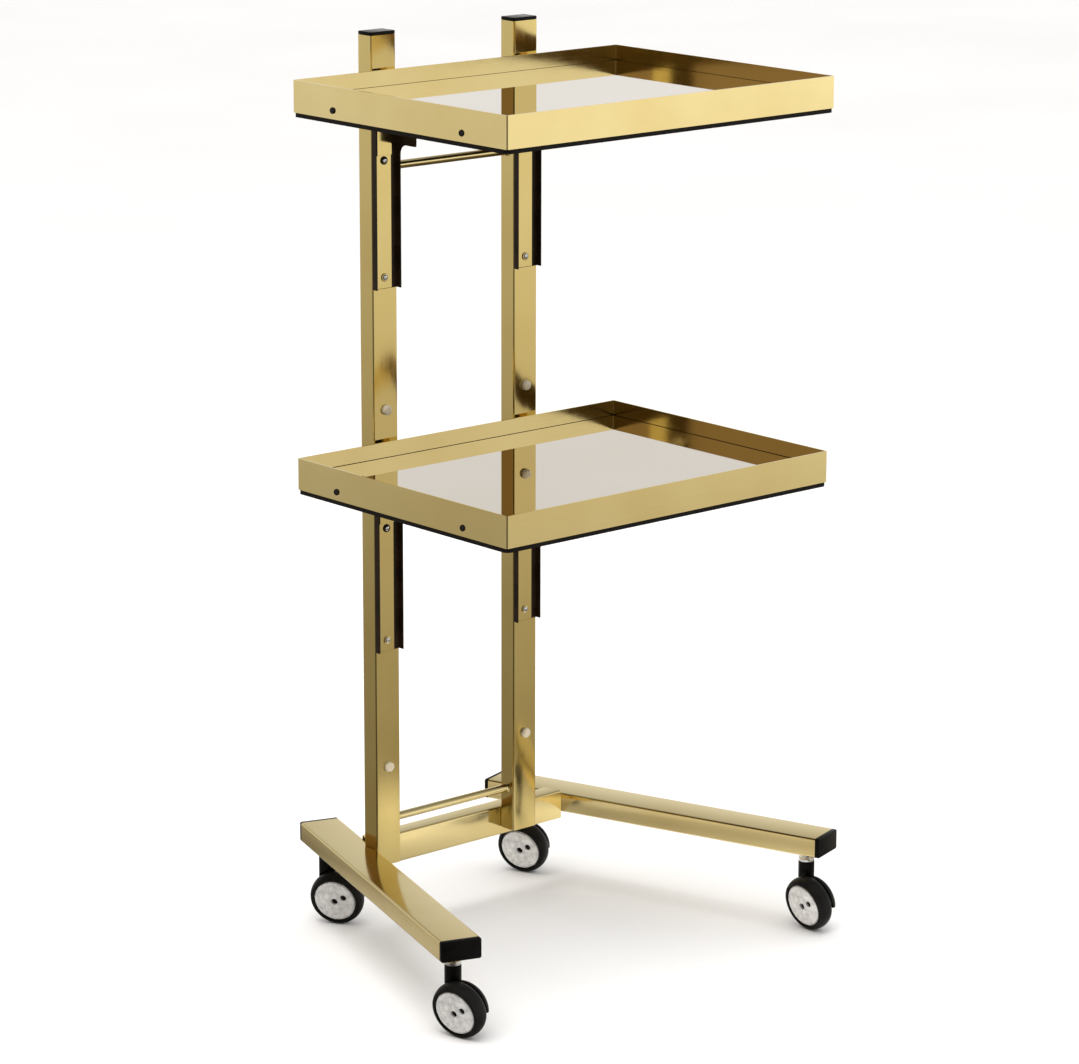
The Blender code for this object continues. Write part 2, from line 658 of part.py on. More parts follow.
def build_hood(prefix, swivel, axle_frame, wheel_height):
    """The hood: a half dome behind the wheel, a boss for the axle and a neck for the stem."""
    name = f"{prefix}_hood"
    outer = dome_profile(HOOD_RADIUS, HOOD_DEPTH, (0, 20, 42, 66))
    dome = turned(name, [(0, HOOD_LIP)] + outer, HOOD_STEPS, BLACK_PLASTIC, axle_frame)
    inner_radius = HOOD_RADIUS - HOOD_WALL
    inner = dome_profile(inner_radius, HOOD_DEPTH - HOOD_WALL, (0, 30, 60))
    cavity = [(0, 0), (inner_radius, 0)] + inner
    cut(dome, turned(f"{name}_cavity", cavity, HOOD_STEPS, BLACK_PLASTIC, axle_frame))
    below_size = 100 * MM
    below_top = wheel_height - LEG_BOTTOM - 1 * MM      # just under the wheel's middle
    below = box_mesh(f"{name}_open_side", (below_size, below_size, below_size))
    below_place = (-CASTER_OFFSET, -CASTER_TRAIL, below_top - below_size / 2)
    cut(dome, add_object(f"{name}_open_side", below, BLACK_PLASTIC, swivel, below_place))
    boss = ((0, BOSS_FRONT), (BOSS_RADIUS, BOSS_FRONT), (BOSS_RADIUS, BOSS_BACK), (0, BOSS_BACK))
    join(dome, turned(f"{name}_boss", boss, PIN_STEPS, BLACK_PLASTIC, axle_frame))
    neck = cylinder_mesh(f"{name}_neck", NECK_RADIUS, NECK_TOP - NECK_BOTTOM, NECK_STEPS)
    neck_place = (0, 0, (NECK_TOP + NECK_BOTTOM) / 2 - LEG_BOTTOM)
    join(dome, add_object(f"{name}_neck", neck, BLACK_PLASTIC, swivel, neck_place))
    space = ((0, 20), (WHEEL_SPACE, 20), (WHEEL_SPACE, WHEEL_FACE), (0, WHEEL_FACE))
    cut(dome, turned(f"{name}_wheel_space", space, HOOD_STEPS, BLACK_PLASTIC, axle_frame))
    bore_length = 30 * MM
    bore = cylinder_mesh(f"{name}_stem_bore", STEM_BORE, bore_length, PIN_STEPS)
    bore_place = (0, 0, STEM_BORE_END + bore_length / 2 - LEG_BOTTOM)
    cut(dome, add_object(f"{name}_stem_bore", bore, BLACK_PLASTIC, swivel, bore_place))
    hole_radius = (AXLE_RADIUS + GAP) / MM
    hole = ((0, 0), (hole_radius, 0), (hole_radius, AXLE_HOLE_END), (0, AXLE_HOLE_END))
    cut(dome, turned(f"{name}_axle_hole", hole, PIN_STEPS, BLACK_PLASTIC, axle_frame))


def build_caster(end, side):
    prefix = f"caster_{end}_{side}"
    place = caster_place(end, side)
    turned(f"{prefix}_stem", STEM_PROFILE, PIN_STEPS, CHROME, None, place)
    yaw = CASTER_YAWS[(end, side)]
    swivel = add_empty(f"{prefix}_swivel", place, (0, 0, yaw))
    wheel_height = wheel_centre_height()
    centre = (-CASTER_OFFSET, -CASTER_TRAIL, wheel_height - LEG_BOTTOM)
    tilt = (0, -math.radians(90) - CASTER_TILT, 0)
    axle_frame = add_empty(f"{prefix}_axle_line", centre, tilt, swivel)
    build_hood(prefix, swivel, axle_frame, wheel_height)
    turned(f"{prefix}_axle", AXLE_PROFILE, PIN_STEPS, CHROME, axle_frame)
    turned(f"{prefix}_tyre", TYRE_PROFILE, WHEEL_STEPS, RUBBER, axle_frame)
    turned(f"{prefix}_hub_cap", HUB_CAP_PROFILE, WHEEL_STEPS, SILVER, axle_frame)


def build_trolley():
    build_crossbar()
    for side in SIDES:
        build_leg(side)
        build_leg_caps(side)
        build_post(side)
        build_post_cap(side)
        for end in CASTER_INSETS:
            build_caster(end, side)
    for level in TRAY_TOPS:
        build_cross_rod(level)
        build_tray(level)
        for side in SIDES:
            build_bracket(level, side)
            build_bracket_strip(level, side)
            build_pivot_bolt(level, side)
            build_bumper(level, side)


build_trolley()
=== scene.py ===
"""Looks of the rolling salon trolley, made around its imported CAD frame.

Metres, +Z up, front towards -Y. Places come from the frame's nodes and joints, and the
small profiles are in millimetres.
"""
import json
import math

import bmesh
import bpy
from mathutils import Matrix, Vector


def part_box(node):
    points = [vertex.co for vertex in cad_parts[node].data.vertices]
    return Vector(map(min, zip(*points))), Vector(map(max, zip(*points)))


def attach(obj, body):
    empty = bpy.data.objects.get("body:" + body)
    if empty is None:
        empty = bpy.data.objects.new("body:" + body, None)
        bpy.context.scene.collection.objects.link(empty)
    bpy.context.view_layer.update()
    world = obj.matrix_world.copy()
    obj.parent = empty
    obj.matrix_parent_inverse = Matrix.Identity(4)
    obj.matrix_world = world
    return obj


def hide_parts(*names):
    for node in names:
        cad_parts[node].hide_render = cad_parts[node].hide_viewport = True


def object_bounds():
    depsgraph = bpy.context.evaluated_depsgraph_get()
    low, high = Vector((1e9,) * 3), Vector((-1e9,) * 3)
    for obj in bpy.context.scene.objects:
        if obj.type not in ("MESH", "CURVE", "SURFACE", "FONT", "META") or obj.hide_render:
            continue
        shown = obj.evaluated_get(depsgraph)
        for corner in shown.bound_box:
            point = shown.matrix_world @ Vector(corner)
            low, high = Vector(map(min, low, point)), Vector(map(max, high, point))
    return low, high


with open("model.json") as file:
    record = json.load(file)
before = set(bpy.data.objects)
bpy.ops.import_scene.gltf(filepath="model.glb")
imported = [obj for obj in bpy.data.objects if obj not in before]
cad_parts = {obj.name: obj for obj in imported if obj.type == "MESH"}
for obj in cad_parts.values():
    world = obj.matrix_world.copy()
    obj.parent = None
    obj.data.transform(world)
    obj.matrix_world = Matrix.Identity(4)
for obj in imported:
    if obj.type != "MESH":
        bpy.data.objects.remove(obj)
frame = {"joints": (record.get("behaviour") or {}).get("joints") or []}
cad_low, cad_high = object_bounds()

MM = 0.001
GAP = 0.3 * MM                      # clearance the frame keeps between touching pieces
SIDES = {"left": -1, "right": 1}
LEVELS = ("upper", "lower")
ENDS = ("front", "rear")
JOINTS = {joint["name"]: joint for joint in frame["joints"]}

SHARP_ANGLE = math.radians(32)      # edges steeper than this stay crisp
ROUND_STEPS = 72                    # sides of a large turned piece
PIN_STEPS = 32                      # sides of a small one

LOOKS = bpy.data.collections.new("looks")
bpy.context.scene.collection.children.link(LOOKS)


# Mesh helpers ---------------------------------------------------------------------------

def mesh_from(name, shape):
    mesh = bpy.data.meshes.new(name)
    shape.to_mesh(mesh)
    shape.free()
    return mesh


def block(name, size, centre=(0, 0, 0)):
    shape = bmesh.new()
    bmesh.ops.create_cube(shape, size=1)
    bmesh.ops.scale(shape, vec=size, verts=shape.verts)
    bmesh.ops.translate(shape, vec=centre, verts=shape.verts)
    return mesh_from(name, shape)


def prism(name, radius, low, high, steps):
    """A capped cylinder or prism along Z, between two heights."""
    shape = bmesh.new()
    bmesh.ops.create_cone(
        shape, cap_ends=True, segments=steps, radius1=radius, radius2=radius, depth=high - low)
    bmesh.ops.translate(shape, vec=(0, 0, (high + low) / 2), verts=shape.verts)
    return mesh_from(name, shape)


def soften(corners, closed=False, steps=4):
    """The outline through (x, y, reach) corners, each rounded off over its reach."""
    points = []
    for index, (x, y, reach) in enumerate(corners):
        corner = Vector((x, y))
        at_end = not closed and index in (0, len(corners) - 1)
        if not reach or at_end:
            points.append((x, y))
            continue
        before = Vector(corners[index - 1][:2]) - corner
        after = Vector(corners[(index + 1) % len(corners)][:2]) - corner
        start = corner + before.normalized() * min(reach, before.length * 0.49)
        end = corner + after.normalized() * min(reach, after.length * 0.49)
        for step in range(steps + 1):
            share = step / steps
            point = start * (1 - share) ** 2 + corner * 2 * share * (1 - share) + end * share ** 2
            points.append((point.x, point.y))
    return points


def turned(name, corners, steps=ROUND_STEPS):
    """A closed mesh turned about Z from (radius, height, reach) corners in millimetres."""
    hollow = corners[0][0] > 0
    profile = soften(corners, closed=hollow)
    shape = bmesh.new()
    verts = [shape.verts.new((radius * MM, 0, height * MM)) for radius, height in profile]
    edges = [shape.edges.new(pair) for pair in zip(verts, verts[1:])]
    if hollow:
        edges.append(shape.edges.new((verts[-1], verts[0])))
    bmesh.ops.spin(shape, geom=verts + edges, cent=(0, 0, 0), axis=(0, 0, 1),
                   angle=math.tau, steps=steps, use_merge=True)
    bmesh.ops.remove_doubles(shape, verts=shape.verts, dist=1e-6)
    bmesh.ops.recalc_face_normals(shape, faces=shape.faces)
    return mesh_from(name, shape)


def barrel(name, radius, top, bottom, steps=PIN_STEPS):
    """A plain turned cylinder, in millimetres along Z."""
    return turned(name, ((0, top, 0), (radius, top, 0), (radius, bottom, 0), (0, bottom, 0)), steps)


def arc(centre, radius, start, end, steps):
    """Points on an arc, with its angles in degrees."""
    points = []
    for step in range(steps + 1):
        angle = math.radians(start + (end - start) * step / steps)
        points.append((centre[0] + radius * math.cos(angle), centre[1] + radius * math.sin(angle)))
    return points


def rounded_rectangle(width, depth, radius, steps=6):
    points = []
    for side_x, side_y, start in ((1, 1, 0), (-1, 1, 90), (-1, -1, 180), (1, -1, 270)):
        centre = (side_x * (width / 2 - radius), side_y * (depth / 2 - radius))
        points += arc(centre, radius, start, start + 90, steps)
    return points


def ring(radius, steps=PIN_STEPS):
    return arc((0, 0), radius, 0, 360 - 360 / steps, steps - 1)


def extruded(name, loops, thickness):
    """Flat outlines, holes included, extruded evenly about the XY plane."""
    curve = bpy.data.curves.new(name, "CURVE")
    curve.dimensions = "2D"
    curve.fill_mode = "BOTH"
    curve.extrude = thickness / 2
    for loop in loops:
        spline = curve.splines.new("POLY")
        spline.points.add(len(loop) - 1)
        for point, (x, y) in zip(spline.points, loop):
            point.co = (x, y, 0, 1)
        spline.use_cyclic_u = True
    outline = bpy.data.objects.new(name, curve)
    LOOKS.objects.link(outline)
    depsgraph = bpy.context.evaluated_depsgraph_get()
    mesh = bpy.data.meshes.new_from_object(outline.evaluated_get(depsgraph))
    bpy.data.objects.remove(outline, do_unlink=True)
    shape = bmesh.new()
    shape.from_mesh(mesh)
    bmesh.ops.remove_doubles(shape, verts=shape.verts, dist=1e-6)
    bmesh.ops.recalc_face_normals(shape, faces=shape.faces)
    shape.to_mesh(mesh)
    shape.free()
    return mesh


def carved(name, mesh, *steps):
    """The mesh after Boolean steps of (operation, tool mesh, tool matrix or None)."""
    base = bpy.data.objects.new(name, mesh)
    LOOKS.objects.link(base)
    tools = []
    for operation, tool_mesh, matrix in steps:
        tool = bpy.data.objects.new(f"{name}_tool", tool_mesh)
        LOOKS.objects.link(tool)
        tool.matrix_world = matrix or Matrix.Identity(4)
        boolean = base.modifiers.new("carve", "BOOLEAN")
        boolean.operation = operation
        boolean.solver = "EXACT"
        boolean.object = tool
        tools.append(tool)
    depsgraph = bpy.context.evaluated_depsgraph_get()
    result = bpy.data.meshes.new_from_object(base.evaluated_get(depsgraph))
    for temporary in [base] + tools:
        bpy.data.objects.remove(temporary, do_unlink=True)
    return result


def piece(name, mesh, material, body, stands_for=(), matrix=None, edge=0.0, edge_material=None):
    """A visible piece at its place, riding on its body, with its edges eased by a bevel."""
    part = bpy.data.objects.new(name, mesh)
    LOOKS.objects.link(part)
    part.matrix_world = matrix or Matrix.Identity(4)
    mesh.materials.clear()
    mesh.materials.append(material)
    mesh.shade_smooth()
    mesh.set_sharp_from_angle(angle=SHARP_ANGLE)
    if edge:
        modifier = part.modifiers.new("eased_edges", "BEVEL")
        modifier.width = edge
        modifier.segments = 2
        modifier.limit_method = "ANGLE"
        modifier.angle_limit = SHARP_ANGLE
        modifier.harden_normals = True
        if edge_material:
            mesh.materials.append(edge_material)
            modifier.material = 1
    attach(part, body)
    if stands_for:
        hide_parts(*stands_for)
    return part


def node_centre(node):
    low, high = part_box(node)
    return (low + high) / 2


def node_size(node):
    low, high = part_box(node)
    return high - low


def turn(degrees, axis):
    return Matrix.Rotation(math.radians(degrees), 4, axis)


def at(place):
    return Matrix.Translation(place)


FACING_FRONT = turn(90, "X")        # local Z points to -Y, local Y points up
FACING_SIDE = turn(90, "Z") @ turn(90, "X")     # local Z points to +X, local X to +Y


# Materials ------------------------------------------------------------------------------

class Nodes:
    """A node tree, with the calls that materials and the room share."""

    def __init__(self, tree):
        self.tree = tree

    def add(self, kind, **settings):
        node = self.tree.nodes.new(kind)
        for key, value in settings.items():
            setattr(node, key, value)
        return node

    def link(self, output, socket):
        self.tree.links.new(output, socket)

    def spread(self, value, low, high, start=0.3, end=0.7, **settings):
        """The value rescaled, so that start gives low and end gives high."""
        node = self.add("ShaderNodeMapRange", **settings)
        for socket, number in zip(("From Min", "From Max", "To Min", "To Max"),
                                  (start, end, low, high)):
            node.inputs[socket].default_value = number
        self.link(value, node.inputs["Value"])
        return node.outputs["Result"]


class Finish(Nodes):
    """A Principled material whose colour, gloss and relief vary through procedural nodes."""

    def __init__(self, name, slot, metallic=0.0, **fixed):
        self.material = bpy.data.materials.new(name)
        self.material.use_nodes = True
        self.material["slot"] = slot
        super().__init__(self.material.node_tree)
        self.shader = self.tree.nodes["Principled BSDF"]
        self.set(metallic=metallic, **fixed)
        self.coordinates = self.add("ShaderNodeTexCoord").outputs["Object"]

    def set(self, **values):
        for key, value in values.items():
            socket = key.replace("_", " ").title().replace("Ior", "IOR")
            self.shader.inputs[socket].default_value = value

    def noise(self, scale, detail=3.0, roughness=0.55):
        """Noise from 0 to 1, with one scale or one for each local axis, in waves a metre."""
        mapping = self.add("ShaderNodeMapping")
        mapping.inputs["Scale"].default_value = scale if isinstance(scale, tuple) else [scale] * 3
        self.link(self.coordinates, mapping.inputs["Vector"])
        texture = self.add("ShaderNodeTexNoise")
        texture.inputs["Scale"].default_value = 1.0
        texture.inputs["Detail"].default_value = detail
        texture.inputs["Roughness"].default_value = roughness
        self.link(mapping.outputs["Vector"], texture.inputs["Vector"])
        return texture.outputs["Fac"]

    def mixed(self, value, other, share=0.5):
        """The two values added, the second one scaled by share."""
        node = self.add("ShaderNodeMath", operation="MULTIPLY_ADD")
        node.inputs[1].default_value = share
        self.link(other, node.inputs[0])
        self.link(value, node.inputs[2])
        return node.outputs["Value"]

    def color(self, value, dark, light, start=0.3, end=0.7):
        ramp = self.add("ShaderNodeValToRGB")
        ramp.color_ramp.elements[0].position = start
        ramp.color_ramp.elements[1].position = end
        ramp.color_ramp.elements[0].color = (*dark, 1)
        ramp.color_ramp.elements[1].color = (*light, 1)
        self.link(value, ramp.inputs["Fac"])
        self.link(ramp.outputs["Color"], self.shader.inputs["Base Color"])

    def gloss(self, value):
        self.link(value, self.shader.inputs["Roughness"])

    def relief(self, value, strength, depth):
        """Surface relief from a value, with its depth in metres."""
        bump = self.add("ShaderNodeBump")
        bump.inputs["Strength"].default_value = strength
        bump.inputs["Distance"].default_value = depth
        self.link(value, bump.inputs["Height"])
        self.link(bump.outputs["Normal"], self.shader.inputs["Normal"])


GOLD_DARK = (0.86, 0.69, 0.305)
GOLD_LIGHT = (0.94, 0.795, 0.395)
POST_PAINTED_SHADE = (0.80, 0.77, 0.66)     # painted shade: the posts and channel strips are painted darker than the bands, for the darker reflections they show
LEG_SHADE = (0.97, 0.96, 0.98)
EDGE_PAINTED_SHADE = (0.42, 0.37, 0.28)     # painted shade: the bands' eased edges are painted darker, for the dark line that shade draws along them
BRUSH_PITCH = 1300                  # brush lines a metre
BRUSH_RUN = 16                      # how often a line ends, a metre


def gold_finish(name, brush, rotation, shade):
    """Plated steel with fine brush lines along the axis whose scale is low."""
    finish = Finish(name, "gold_steel", metallic=1.0, anisotropic=0.35,
                    anisotropic_rotation=rotation)
    lines = finish.noise(brush, detail=4.0)
    cloud = finish.noise(7, detail=2.0)
    smudge = finish.noise(34, detail=5.0, roughness=0.65)
    # shade scales the gold; for the posts, the channel strips and the band edges it is painted
    # shade
    dark = [channel * factor for channel, factor in zip(GOLD_DARK, shade)]
    light = [channel * factor for channel, factor in zip(GOLD_LIGHT, shade)]
    finish.color(finish.mixed(cloud, lines, 0.25), dark, light, 0.38, 0.82)
    finish.gloss(finish.spread(finish.mixed(lines, smudge, 0.8), 0.08, 0.16, 0.6, 1.15))
    finish.relief(lines, 0.016, 0.05 * MM)
    return finish.material


def black_steel_finish():
    """Satin powder coat, with its fine orange peel."""
    finish = Finish("black_powder_coat", "black_steel", specular_ior_level=0.12)
    peel = finish.noise(850, detail=2.0)
    cloud = finish.noise(40, detail=4.0)
    finish.color(cloud, (0.013, 0.0075, 0.0035), (0.028, 0.016, 0.0075))
    finish.gloss(finish.spread(cloud, 0.2, 0.34))
    finish.relief(peel, 0.35, 0.08 * MM)
    return finish.material


def board_finish():
    """Black-faced fibreboard: a tight grain with lighter fibres along its edge."""
    finish = Finish("black_faced_board", "black_board", specular_ior_level=0.1)
    grain = finish.noise((90, 90, 1400), detail=6.0, roughness=0.7)
    speck = finish.noise(700, detail=2.0)
    finish.color(finish.mixed(grain, speck, 0.3), (0.0035, 0.003, 0.0025), (0.014, 0.011, 0.009),
                 0.45, 0.95)
    finish.gloss(finish.spread(grain, 0.38, 0.6))
    finish.relief(speck, 0.3, 0.1 * MM)
    return finish.material


def mirror_finish():
    """Silvered glass: nearly flat, with faint wiping marks in its gloss."""
    finish = Finish("silvered_glass", "tray_mirror", metallic=1.0, coat_weight=0.06,
                    coat_roughness=0.02)
    wipe = finish.noise((16, 42, 16), detail=5.0, roughness=0.6)
    haze = finish.noise(5, detail=1.0)
    finish.color(haze, (0.82, 0.745, 0.63), (0.85, 0.78, 0.67))
    finish.gloss(finish.spread(wipe, 0.012, 0.055, 0.45, 0.8))
    return finish.material


def plastic_finish():
    """Moulded plastic with a fine spark-eroded grain and slight flow marks."""
    finish = Finish("black_moulded_plastic", "black_plastic", specular_ior_level=0.07)
    grain = finish.noise(1500, detail=2.0)
    flow = finish.noise((55, 55, 130), detail=4.0)
    finish.color(flow, (0.0025, 0.0025, 0.0025), (0.007, 0.0066, 0.006))
    finish.gloss(finish.spread(flow, 0.16, 0.3))
    finish.relief(grain, 0.25, 0.05 * MM)
    return finish.material


def tyre_finish():
    """Polyurethane tread: smooth, with dull scuffs where it has rolled."""
    finish = Finish("polyurethane_tread", "black_tyre", specular_ior_level=0.09)
    scuff = finish.noise((160, 160, 500), detail=6.0, roughness=0.7)
    dust = finish.noise(30, detail=3.0)
    finish.color(finish.mixed(dust, scuff, 0.4), (0.004, 0.004, 0.004), (0.013, 0.0125, 0.0115),
                 0.45, 0.95)
    finish.gloss(finish.spread(scuff, 0.26, 0.5))
    finish.relief(scuff, 0.15, 0.1 * MM)
    return finish.material


def chrome_finish():
    finish = Finish("bright_chrome", "chrome_steel", metallic=1.0)
    haze = finish.noise((220, 220, 60), detail=4.0)
    finish.color(haze, (0.74, 0.74, 0.75), (0.84, 0.84, 0.84))
    finish.gloss(finish.spread(haze, 0.05, 0.14))
    finish.relief(haze, 0.08, 0.03 * MM)
    return finish.material


def dark_steel_and_painted_shade_finish():
    """Very dark steel: on the axle's end deep in the wheel cap's hole it is painted shade, standing
    in for the dark of the hole.
    """
    finish = Finish("dark_steel_and_painted_shade", "chrome_steel", metallic=0.7)
    haze = finish.noise((300, 300, 90), detail=4.0)
    finish.color(haze, (0.020, 0.018, 0.016), (0.045, 0.041, 0.037))
    finish.gloss(finish.spread(haze, 0.3, 0.5))
    finish.relief(haze, 0.08, 0.03 * MM)
    return finish.material


def hub_finish():
    """Satin silver paint with a fine metal fleck, and lighter patches that are painted highlights
    and also vary its gloss.
    """
    finish = Finish("satin_silver", "silver_hub", metallic=0.45, specular_ior_level=0.5)
    fleck = finish.noise(1400, detail=2.0)
    painted_highlight_patches = finish.noise(150, detail=4.0, roughness=0.6)
    # painted highlight: the patches lighten the colour, for blotchy highlights
    finish.color(finish.mixed(painted_highlight_patches, fleck, 0.15), (0.60, 0.60, 0.595), (0.93, 0.93, 0.92),
                 0.4, 0.68)
    finish.gloss(finish.spread(painted_highlight_patches, 0.28, 0.42))
    finish.relief(fleck, 0.06, 0.02 * MM)
    return finish.material


def pale_plastic_finish():
    finish = Finish("pale_translucent_plastic", "pale_plastic", subsurface_weight=0.25,
                    subsurface_radius=(0.004, 0.003, 0.002))
    cloud = finish.noise(420, detail=4.0)
    finish.color(cloud, (0.72, 0.60, 0.40), (0.86, 0.76, 0.57))
    finish.gloss(finish.spread(cloud, 0.28, 0.42))
    finish.relief(cloud, 0.12, 0.1 * MM)
    return finish.material


LENGTHWISE = (BRUSH_PITCH, BRUSH_PITCH, BRUSH_RUN)
AROUND = (BRUSH_RUN, BRUSH_RUN, BRUSH_PITCH)
# the posts' gold and the band edges' gold below are darker copies of the same gold: painted shade
GOLD_POST_PAINTED_SHADE = gold_finish("gold_brushed_painted_shade", LENGTHWISE, 0.0, POST_PAINTED_SHADE)
GOLD_TUBE = gold_finish("gold_brushed_lengthwise", LENGTHWISE, 0.0, LEG_SHADE)
GOLD_BAND = gold_finish("gold_brushed_around", AROUND, 0.25, (1, 1, 1))
GOLD_EDGE_PAINTED_SHADE = gold_finish("gold_edge_painted_shade", AROUND, 0.0, EDGE_PAINTED_SHADE)
BLACK_STEEL = black_steel_finish()
BOARD = board_finish()
MIRROR = mirror_finish()
PLASTIC = plastic_finish()
TYRE = tyre_finish()
CHROME = chrome_finish()
DARK_STEEL_AND_PAINTED_SHADE = dark_steel_and_painted_shade_finish()
HUB = hub_finish()
PALE = pale_plastic_finish()

# Base -----------------------------------------------------------------------------------

LEG_WIDTH = 40 * MM
LEG_HEIGHT = 20 * MM
LEG_CAP = 4 * MM                    # the part of an end cap outside the tube
CAP_PLUG = 10 * MM                  # and the part inside it
TUBE_WALL = 1.2 * MM
TUBE_RADIUS = 2 * MM
CAP_EDGE = 1.2 * MM
STEM_HOLE = 5.4 * MM


def leg_frame(side):
    """A matrix at the leg's middle whose Z runs forwards along the leg and Y points up."""
    rear = node_centre(f"leg_cap_rear_{side}")
    front = node_centre(f"leg_cap_front_{side}")
    forwards = (front - rear).normalized()
    up = Vector((0, 0, 1))
    matrix = Matrix((up.cross(forwards), up, forwards)).transposed().to_4x4()
    matrix.translation = (front + rear) / 2
    return matrix


def leg_length(side):
    rear = node_centre(f"leg_cap_rear_{side}")
    front = node_centre(f"leg_cap_front_{side}")
    return (front - rear).length + LEG_CAP + CAP_PLUG


def tube(name, width, depth, length):
    outer = rounded_rectangle(width, depth, TUBE_RADIUS)
    inner = rounded_rectangle(width - 2 * TUBE_WALL, depth - 2 * TUBE_WALL,
                              TUBE_RADIUS - TUBE_WALL, 2)
    return extruded(name, [outer, inner], length)


def beyond_leg(name, side, height):
    """A block that fills a leg and the space outside it, for trimming what meets the leg."""
    reach = 120 * MM
    width = LEG_WIDTH / 2 + GAP + reach
    outwards = leg_frame(side).col[0].x * SIDES[side]
    centre_x = math.copysign((reach - LEG_WIDTH / 2 - GAP) / 2, outwards)
    return block(name, (width, height, leg_length(side)), (centre_x, 0, 0))


def build_leg(side):
    matrix = leg_frame(side)
    length = leg_length(side)
    shell = tube(f"{side}_leg", LEG_WIDTH, LEG_HEIGHT, length - 2 * (LEG_CAP + GAP))
    holes = []
    for end in ENDS:
        place = Vector(JOINTS[f"caster_{end}_{side}_swivel"]["pos_m"])
        place.z = matrix.translation.z - LEG_HEIGHT / 2
        drill = prism("drill", STEM_HOLE, -2 * TUBE_WALL, 2 * TUBE_WALL, PIN_STEPS)
        holes.append(("DIFFERENCE", drill, matrix.inverted() @ at(place)))
    piece(f"{side}_leg_tube", carved(f"{side}_leg", shell, *holes), GOLD_TUBE, "frame",
          [f"leg_{side}"], matrix)


def end_cap(name, width, depth, slab, plug):
    """An end cap along Z: a slab with a softened rim over the tube, and a plain plug inside."""
    rim = CAP_EDGE / 2
    outline = rounded_rectangle(width, depth, TUBE_RADIUS, 4)
    cap = extruded(name, [outline], slab)
    shape = bmesh.new()
    shape.from_mesh(cap)
    bmesh.ops.translate(shape, vec=(0, 0, slab / 2), verts=shape.verts)
    top_rim = [edge for edge in shape.edges
               if len(edge.link_faces) == 2 and edge.calc_face_angle() > SHARP_ANGLE
               and min(vert.co.z for vert in edge.verts) > slab * 0.9]
    bmesh.ops.bevel(shape, geom=top_rim, offset=rim, segments=3, affect="EDGES", profile=0.5)
    shape.to_mesh(cap)
    shape.free()
    inner_width = width - 2 * (TUBE_WALL + GAP)
    inner_depth = depth - 2 * (TUBE_WALL + GAP)
    plug_mesh = extruded(f"{name}_plug", [rounded_rectangle(inner_width, inner_depth, MM, 3)],
                         plug + slab / 2)
    return carved(name, cap, ("UNION", plug_mesh, at((0, 0, slab / 4 - plug / 2))))


def build_leg_caps(side):
    for end in ENDS:
        node = f"leg_cap_{end}_{side}"
        matrix = leg_frame(side)
        half = leg_length(side) / 2 - LEG_CAP
        if end == "rear":
            matrix = matrix @ turn(180, "Y")
        mesh = end_cap(f"{end}_{side}_leg_cap", LEG_WIDTH, LEG_HEIGHT, LEG_CAP, CAP_PLUG)
        piece(f"{end}_{side}_leg_end_cap", mesh, PLASTIC, "frame", [node],
              matrix @ at((0, 0, half)))


def build_crossbar():
    """The tube between the legs, with its ends cut to the legs' angle."""
    size = node_size("crossbar")
    matrix = at(node_centre("crossbar")) @ turn(90, "Y")
    bar = tube("crossbar_shell", size.z, size.y, size.x + 60 * MM)
    trims = [("DIFFERENCE", beyond_leg(f"trim_{side}", side, 2 * LEG_HEIGHT),
              matrix.inverted() @ leg_frame(side)) for side in SIDES]
    piece("crossbar_tube", carved("crossbar_shell", bar, *trims), GOLD_TUBE, "frame",
          ["crossbar"], matrix)


# Posts ----------------------------------------------------------------------------------

def post_centre(side):
    """The middle of a post's section, at its top."""
    low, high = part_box(f"post_{side}")
    cap_low, cap_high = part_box(f"post_cap_{side}")
    return Vector(((cap_low.x + cap_high.x) / 2, (cap_low.y + cap_high.y) / 2, high.z))


def build_post(side):
    low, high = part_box(f"post_{side}")
    slab_low, slab_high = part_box(f"post_cap_{side}")
    size = slab_high - slab_low
    length = high.z - low.z
    top = post_centre(side)
    matrix = at((top.x, top.y, top.z - length / 2))
    shell = tube(f"{side}_post", size.x, size.y, length)
    steps = []
    if side == "left":
        steps.append(("DIFFERENCE", beyond_leg("post_trim", side, LEG_HEIGHT + 2 * GAP),
                      matrix.inverted() @ leg_frame(side)))
    for level in LEVELS:
        bumper = node_centre(f"bumper_{level}_{side}")
        drill = prism("bumper_hole", 3.1 * MM, -4 * MM, 4 * MM, PIN_STEPS)
        place = at((bumper.x, slab_low.y, bumper.z)) @ FACING_FRONT
        steps.append(("DIFFERENCE", drill, matrix.inverted() @ place))
    # painted shade: the post takes the darker copy of the gold
    piece(f"{side}_post_tube", carved(f"{side}_post", shell, *steps), GOLD_POST_PAINTED_SHADE, "frame",
          [f"post_{side}"], matrix)


def build_post_cap(side):
    node = f"post_cap_{side}"
    low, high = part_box(node)
    size = high - low
    slab = 3 * MM
    mesh = end_cap(f"{side}_post_cap", size.x, size.y, slab, size.z - slab)
    piece(f"{side}_post_end_cap", mesh, PLASTIC, "frame", [node],
          at(((low.x + high.x) / 2, (low.y + high.y) / 2, high.z - slab)))


def build_cross_rod(level):
    """A round rod between the posts, with a small weld fillet at each end."""
    node = f"cross_rod_{level}"
    size = node_size(node)
    radius = size.z / 2 / MM
    half = size.x / 2 / MM
    weld = 2.2
    profile = ((0, half, 0), (radius + 1.2, half, 0), (radius, half - weld, 1.2),
               (radius, weld - half, 1.2), (radius + 1.2, -half, 0), (0, -half, 0))
    piece(f"{level}_cross_rod", turned(f"{level}_rod", profile, PIN_STEPS), GOLD_TUBE, "frame",
          [node], at(node_centre(node)) @ turn(90, "Y"))


